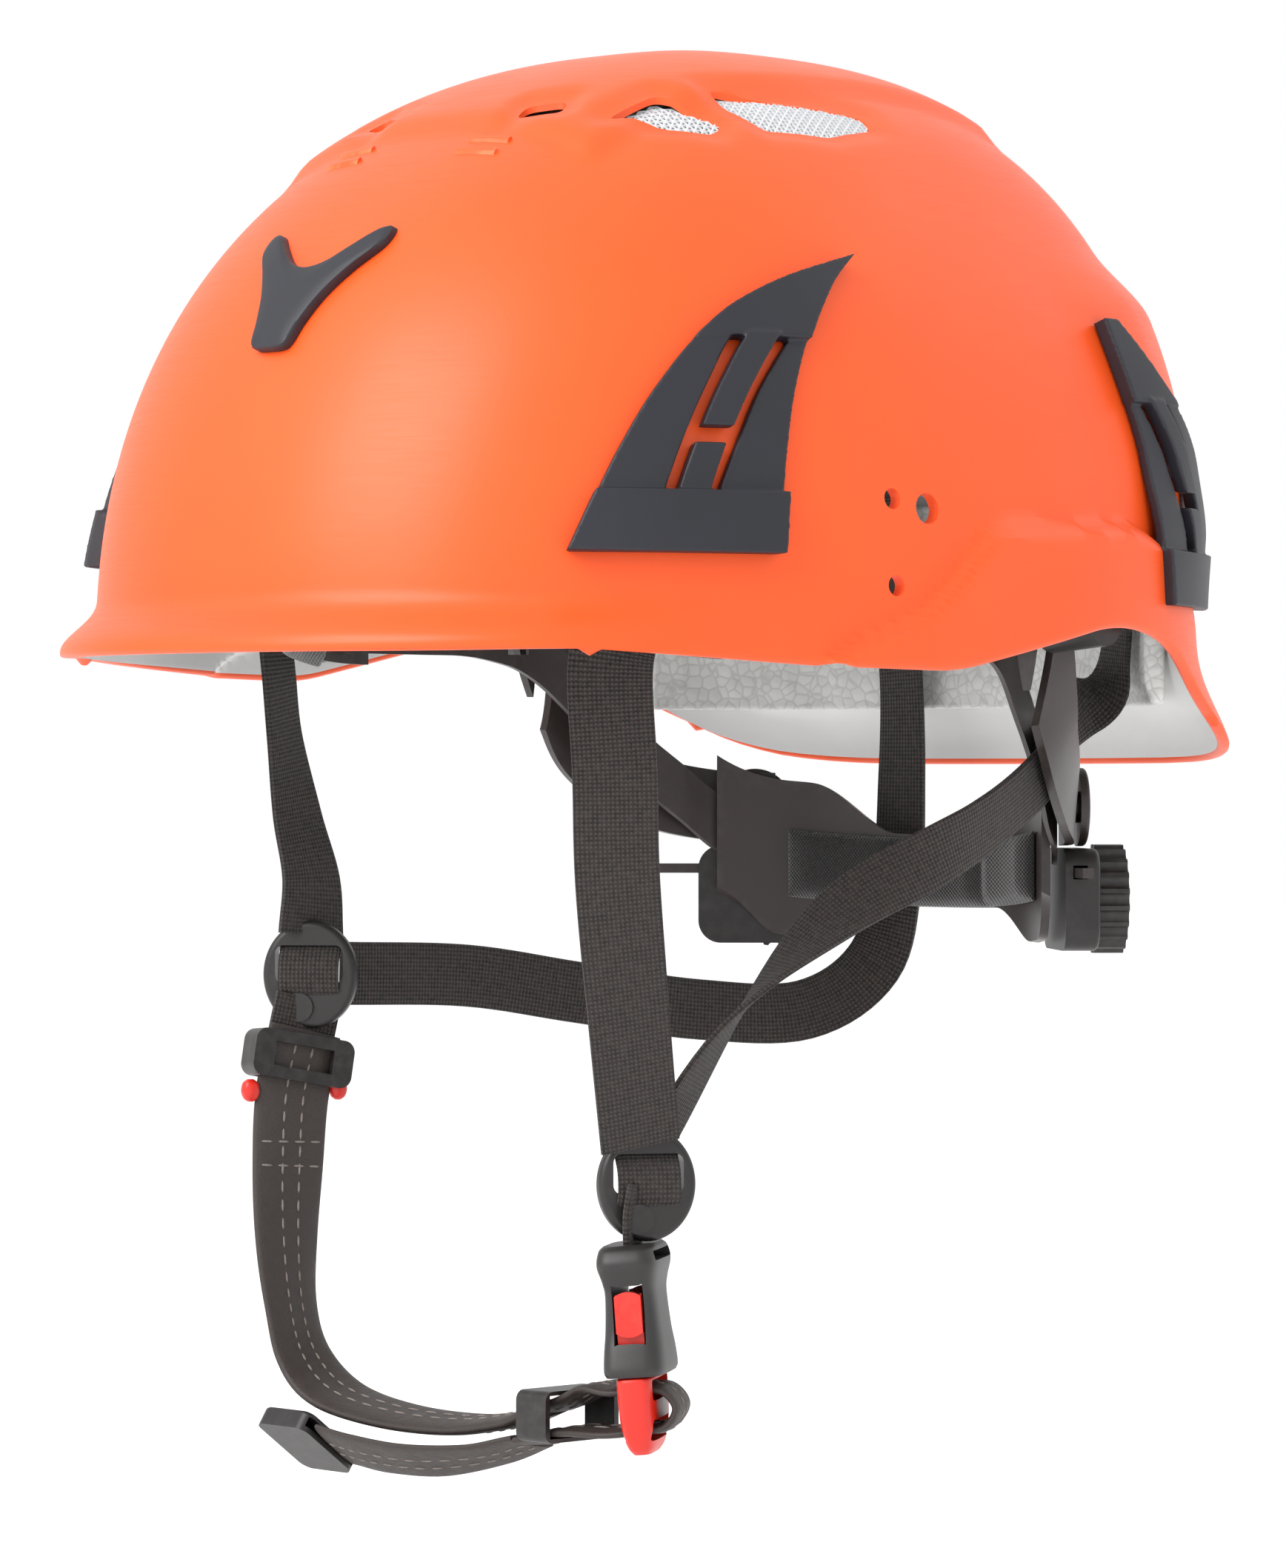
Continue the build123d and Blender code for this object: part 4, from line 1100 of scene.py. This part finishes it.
LEFT_DIVIDER = ((54.0, -58.0, -127.4), 60.0)
RIGHT_DIVIDER = ((-66.0, -55.0, -80.0), 35.0)
BODY_STATIONS = ((0.0, 11.5, 6.0), (1.2, 13.4, 7.0), (4.5, 14.8, 7.5), (8.5, 13.2, 6.6), (12.0, 11.7, 6.3),
                 (20.0, 11.9, 6.8), (25.0, 13.4, 7.3), (29.5, 14.6, 7.5), (31.0, 14.0, 7.0))
TONGUE_STATIONS = ((31.3, 13.2, 4.2), (32.2, 14.0, 4.7), (38.0, 13.8, 4.7), (44.0, 12.6, 4.4),
                   (48.0, 10.4, 3.4), (49.8, 8.6, 2.2))
STEM_STATIONS = ((18.0, 4.5, 3.2), (32.0, 4.5, 3.2))
TAB_STATIONS = ((-2.6, 0.8, 0.8), (-1.6, 1.9, 1.9), (0.5, 2.3, 2.1), (2.2, 1.7, 1.6), (3.0, 0.7, 0.7))
TAB_MIDDLE = Vector((-67.2, -59.6, -108.6))
TAB_ALONG = Vector((0.33, 0.94, 0.0))
TAB_THROUGH = Vector((0.94, -0.33, 0.0))
TONGUE_SLOTS = (32.0, 41.5)
TONGUE_SLOT_H = 5.0


def loft(stations, place, power=0.42, sides=48):
    """Closed skin through rounded-rectangle sections; each station is z, half width, half depth."""
    levels = [Vector(row) for row in stations]
    rows = 5 * (len(levels) - 1) + 1
    verts = []
    for i in range(rows):
        z, wide, deep = smooth_at(levels, i / (rows - 1))
        for j in range(sides):
            turn = 2 * math.pi * j / sides
            c = math.cos(turn)
            d = math.sin(turn)
            x = math.copysign(abs(c) ** power, c) * wide
            y = math.copysign(abs(d) ** power, d) * deep
            verts.append(place(x, y, z))
    faces = grid_faces(rows, sides, wrap=True)
    faces.append(tuple(range(sides - 1, -1, -1)))
    faces.append(tuple((rows - 1) * sides + j for j in range(sides)))
    return verts, faces


def slab_cut(x0, x1, y0, y1, z0, z1):
    """Cutting prism in the buckle's own directions."""
    outline = rounded([(x0, z0), (x1, z0), (x1, z1), (x0, z1)], min(1.4, (x1 - x0) / 3, (z1 - z0) / 3))
    return prism([(p[0], p[1]) for p in outline], lambda a, b, h: buckle_spot(a, h, b), y0, y1)


def make_buckle(mats):
    verts, faces = loft(BODY_STATIONS, buckle_spot)
    body = add_mesh("buckle_housing", verts, faces, mats["buckle_grey"], "helmet")
    recalc(body)
    cuts = [slab_cut(-12.7, 12.7, -3.8, 3.8, 5.4, 34.0), slab_cut(-10.5, 10.5, -12, 12, 1.5, 3.8)]
    cuts += [slab_cut(-19.0, -5.0, -3.6, 3.6, 9.8, 22.2), slab_cut(5.0, 19.0, -3.6, 3.6, 9.8, 22.2)]
    for cut in cuts:
        cut_holes(body, [cut])
    crease(body, 38)
    soften(body, 0.3, 2, 45)
    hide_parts("buckle_body")
    verts, faces = loft(TONGUE_STATIONS, buckle_spot, 0.5)
    tongue = add_mesh("buckle_tongue_frame", verts, faces, mats["red_plastic"], "tongue")
    recalc(tongue)
    for low in TONGUE_SLOTS:
        cut_holes(tongue, [slab_cut(-10.75, 10.75, -8, 8, low, low + TONGUE_SLOT_H)])
    crease(tongue, 38)
    soften(tongue, 0.3, 2, 45)
    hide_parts("buckle_tongue")
    verts, faces = loft(STEM_STATIONS, buckle_spot, 0.6)
    stem = add_mesh("buckle_tongue_guide", verts, faces, mats["red_plastic"], "tongue")
    recalc(stem)
    crease(stem, 38)


def divider_spot(which, x, y, z):
    """Point in a divider: x across, y up and z out of its face."""
    spot, turn = which
    wide = Vector((math.cos(math.radians(turn)), math.sin(math.radians(turn)), 0))
    face = wide.cross(Vector((0, 0, 1)))
    return Vector(spot) + wide * x + Vector((0, 0, 1)) * y + face * z


def make_divider_wraps(mats):
    """Webbing folded over each divider's bar, and the short web under the right divider."""
    for label, which in (("left", LEFT_DIVIDER), ("right", RIGHT_DIVIDER)):
        line = ((9.6, -1.9), (6.8, 0.2), (3.6, 2.5), (0.2, 3.3), (-3.2, 2.9), (-5.2, 0.6), (-5.4, -2.2))
        path = [tuple(divider_spot(which, 0.0, y, z)) for y, z in line]
        across = divider_spot(which, 1.0, 0.0, 0.0) - divider_spot(which, 0.0, 0.0, 0.0)
        ribbon("divider_wrap_" + label, path, [tuple(across)] * len(path), 15.6, WEB_T, mats["strap_web"],
               "helmet", edge=0.3)
    path = [(-66.4, -55.4, -86.0), (-66.8, -57.0, -93.0), (-67.1, -58.4, -99.0), (-67.2, -59.0, -104.0)]
    ribbon("slider_webbing", path, [(0.33, 0.94, 0)] * len(path), 18.0, WEB_T, mats["strap_web"],
           "helmet", edge=0.3)


def make_slider_tabs(mats):
    """Red ends of the latch bar that show below the right slider."""
    for label, shift in (("front", -12.0), ("rear", 12.0)):
        middle = TAB_MIDDLE + TAB_ALONG * shift

        def place(x, y, z, middle=middle):
            return middle + TAB_ALONG * x + TAB_THROUGH * y + Vector((0, 0, -z))
        verts, faces = loft(TAB_STATIONS, place, 0.8, 24)
        tab = add_mesh("slider_tab_" + label, verts, faces, mats["red_plastic"], "helmet")
        recalc(tab)


# ---------------------------------------------------------------- pads inside

BAND_X = 82.0
BAND_FRONT = 112.0
BAND_REAR = 106.0
BAND_Y = 8.0
PAD_EDGE = 0.6


def band_point(deg, off):
    phi = math.radians(deg)
    end = BAND_FRONT if math.sin(phi) < 0 else BAND_REAR
    return np.array([(BAND_X + off) * math.cos(phi), BAND_Y + (end + off) * math.sin(phi), 0.0])


def band_z(y):
    return float(np.interp(y, [-110.0, -80.0, -50.0, -33.0, 20.0, 38.0, 66.0, 90.0, 116.0],
                           [14.0, 13.0, 10.0, 9.0, 9.0, 5.0, -24.0, -46.0, -50.0]))


def crown_bearing(x, y, off):
    length = (FRONT_L if y < Y_MID else REAR_L) + off
    a = abs(x) / (HALF_W + off)
    b = abs(y - Y_MID) / length
    theta = math.atan2(b ** (EXP_PLAN / 2), a ** (EXP_PLAN / 2))
    if x < 0:
        theta = math.pi - theta
    return -theta if y < Y_MID else theta


def crown_point(x, y, off):
    """Point on top of the dome above x, y."""
    low = 0.0
    high = CROWN_H + off
    theta = crown_bearing(x, y, off)
    for _ in range(30):
        z = (low + high) / 2
        px, py = dome_at(theta, z, off)
        if px * px + (py - Y_MID) ** 2 > x * x + (y - Y_MID) ** 2:
            low = z
        else:
            high = z
    return np.array([x, y, (low + high) / 2])


def channel(v, count):
    """Depth share of the sewn channels that cross a pad, 1 on a seam."""
    near = abs((v * count) % 1.0 - 0.5) * 2
    return max(0.0, 1 - (1 - near) * count * 0.9) ** 1.4


def pad_mesh(name, flat_at, puffed_at, rows, cols, mats, body):
    verts, faces = closed_sheet(puffed_at, flat_at, rows, cols)
    pad = add_mesh(name, verts, faces, mats["pad_textile"], body)
    recalc(pad)
    mod = pad.modifiers.new("round", "SUBSURF")
    mod.levels = 1
    mod.render_levels = 1
    apply_modifiers(pad)
    for poly in pad.data.polygons:
        poly.use_smooth = True
    return pad


def ring_pad(name, node, start, end, low, high, off, thick, seams, mats, body):
    """Quilted pad on the inside of the head ring between two bearings."""
    def flat(u, v):
        base = band_point(start + (end - start) * v, off + thick)
        return np.array([base[0], base[1], band_z(base[1]) + low + (high - low) * u])

    def puffed(u, v):
        rise = (1 - abs(2 * u - 1) ** 4) ** 0.5 * (1 - abs(2 * v - 1) ** 24) ** 0.5
        depth = PAD_EDGE + (thick - PAD_EDGE) * rise * (1 - 0.55 * channel(v, seams))
        base = band_point(start + (end - start) * v, off + thick - depth)
        return np.array([base[0], base[1], band_z(base[1]) + low + (high - low) * u])
    pad = pad_mesh(name, flat, puffed, 17, 97, mats, body)
    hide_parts(node)


def make_pads(mats):
    ring_pad("brow_pad_quilted", "brow_pad", -150, -30, -12.5, 13.0, -5.4, 5.0, 7, mats, "helmet")
    ring_pad("nape_pad_quilted", "nape_pad", 58, 122, -15.0, 3.0, -5.2, 4.4, 3, mats, "nape")

    def flat(u, v):
        return crown_point(-34 + 68 * u, -52 + 116 * v, -WALL - 17.4)

    def puffed(u, v):
        rise = (1 - abs(2 * u - 1) ** 6) ** 0.5 * (1 - abs(2 * v - 1) ** 6) ** 0.5
        bars = channel(v, 4) * 0.7
        return crown_point(-34 + 68 * u, -52 + 116 * v, -WALL - 18.2 - 4.2 * rise * (1 - bars))
    pad = pad_mesh("crown_pad_quilted", flat, puffed, 33, 49, mats, "helmet")
    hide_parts("crown_pad")


# ---------------------------------------------------------------- foam inside the shell

LINER_Z = 60.0
LINER_OUT = -WALL - 2.1
LINER_IN = -WALL - 16.8
LINER_GROOVES = (-44.0, -15.0, 15.0, 44.0)
GROOVE_HALF = 6.5
GROOVE_DEPTH = 5.5
FOAM_LOW = -12.0
FOAM_HIGH = 42.0
FOAM_RIBS = 6


def liner_point(a, b, off, depth):
    """Point of the liner over the unit square; depth is how far a groove is sunk."""
    px = a * math.sqrt(1 - b * b / 2)
    py = b * math.sqrt(1 - a * a / 2)
    theta = math.atan2(py, px)
    q = min(1.0, math.hypot(px, py))
    m = float(dome_exp(theta))
    height = CROWN_H + off + depth
    low = math.acos((LINER_Z / height) ** (m / 2))
    z = height * math.cos(q * low) ** (2 / m)
    x, y = dome_at(theta, z, off + depth)
    return np.array([float(x), float(y), z])


def make_liner(mats):
    """Bead-foam liner with four air grooves along its inside and a rounded lower edge."""
    def outer(u, v):
        return liner_point(2 * u - 1, 2 * v - 1, LINER_OUT, 0.0)

    def inner(u, v):
        a = 2 * u - 1
        b = 2 * v - 1
        flat = liner_point(a, b, LINER_IN, 0.0)
        groove = max(float(ease(1.0 - abs(flat[0] - x) / GROOVE_HALF)) for x in LINER_GROOVES)
        ends = float(ease((0.86 - abs(b)) / 0.12)) * float(ease((0.93 - abs(a)) / 0.1))
        return liner_point(a, b, LINER_IN, GROOVE_DEPTH * groove * ends)
    verts, faces = closed_sheet(outer, inner, 91, 91)
    liner = add_mesh("foam_liner", verts, faces, mats["foam"], "helmet")
    recalc(liner)
    crease(liner, 40)
    soften(liner, 1.6, 3, 40)
    apply_modifiers(liner)
    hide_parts("eps_liner")


def make_rear_foam(mats):
    """Foam panel behind the head with shallow pressed ribs."""
    def sheet(off, rib):
        def point(u, v):
            z = FOAM_LOW + (FOAM_HIGH - FOAM_LOW) * v
            flat = float(ease((abs(((u * FOAM_RIBS) % 1.0) - 0.5) - 0.12) / 0.12))
            rise = flat * float(ease(min(v, 1 - v) / 0.12))
            x, y = dome_at(math.radians(38.0 + 104.0 * u), z, off - rib * (1 - rise))
            return np.array([float(x), float(y), z])
        return point
    verts, faces = closed_sheet(sheet(-WALL - 0.7, 0.0), sheet(-WALL - 5.4, -1.4), 121, 31)
    foam = add_mesh("rear_foam_panel", verts, faces, mats["foam"], "helmet")
    recalc(foam)
    crease(foam, 40)
    soften(foam, 1.0, 3, 40)
    apply_modifiers(foam)
    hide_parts("rear_foam")


# ---------------------------------------------------------------- vent grille

GRILLE_PITCH = 2.1
GRILLE_WIRE = 0.8
ROW_STEP = 0.866


def make_grilles(mats):
    """Fine triangular grille under the crown vents, made as a real lattice."""
    pitch = GRILLE_PITCH
    for label, side in (("left", 1), ("right", -1)):
        mesh = bmesh.new()
        grid = {}
        rows = int(96 / (pitch * ROW_STEP))
        cols = int(56 / pitch)
        for i in range(rows):
            for j in range(cols):
                x = 16 + j * pitch + (i % 2) * pitch / 2
                y = -78 + i * pitch * ROW_STEP
                if min(float(outline_distance(o, np.array(x), np.array(y))) for o in VENTS) < 2.0:
                    p = crown_point(x, y, -1.9)
                    grid[i, j] = mesh.verts.new((side * p[0] * MM, p[1] * MM, p[2] * MM))
        for (i, j), vert in grid.items():
            shift = i % 2
            for a, b in (((i, j + 1), (i + 1, j + shift)), ((i + 1, j + shift), (i + 1, j - 1 + shift))):
                if a in grid and b in grid:
                    mesh.faces.new((vert, grid[a], grid[b]))
        data = bpy.data.meshes.new("grille_" + label)
        mesh.to_mesh(data)
        mesh.free()
        data.materials.append(mats["mesh"])
        obj = bpy.data.objects.new("vent_grille_" + label, data)
        bpy.context.scene.collection.objects.link(obj)
        wire = obj.modifiers.new("wire", "WIREFRAME")
        wire.thickness = GRILLE_WIRE * MM
        wire.use_replace = True
        apply_modifiers(obj)
        for poly in obj.data.polygons:
            poly.use_smooth = True
        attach(obj, "helmet")
        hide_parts("vent_mesh_" + label)


# ---------------------------------------------------------------- carried-over CAD pieces

SOFT_EDGE = {"dark_plastic": 0.45, "ring_plastic": 0.35, "buckle_grey": 0.6, "red_plastic": 0.5, "foam": 1.2}

BLACK_NODES = ("divider", "ratchet", "strap_keeper", "strap_end_clip", "arm_peg", "anchor", "side_frame")


def dress_cad(mats):
    """Materials for the CAD nodes that stay, and a rounded edge on each moulded one."""
    slots = {row["node"]: row["material_slot"] for row in frame["record"]["subparts"]}
    for name, node in frame["nodes"].items():
        if node.hide_render:
            continue
        mat = mats["black_plastic" if name.startswith(BLACK_NODES) else slots[name]]
        if len(node.material_slots) == 0:
            node.data.materials.append(mat)
        for material_slot in node.material_slots:
            material_slot.material = mat
        width = SOFT_EDGE.get(slots[name])
        if width and not name.startswith(("pinion", "rack_")):
            soften(node, width)


make_camera()
make_stage()
materials = make_materials()
make_shell(materials)
make_clips(materials)
make_badge(materials)
make_webbing(materials)
make_chin(materials)
make_buckle(materials)
make_divider_wraps(materials)
make_slider_tabs(materials)
make_pads(materials)
make_grilles(materials)
make_liner(materials)
make_rear_foam(materials)
make_marks(materials)
dress_cad(materials)
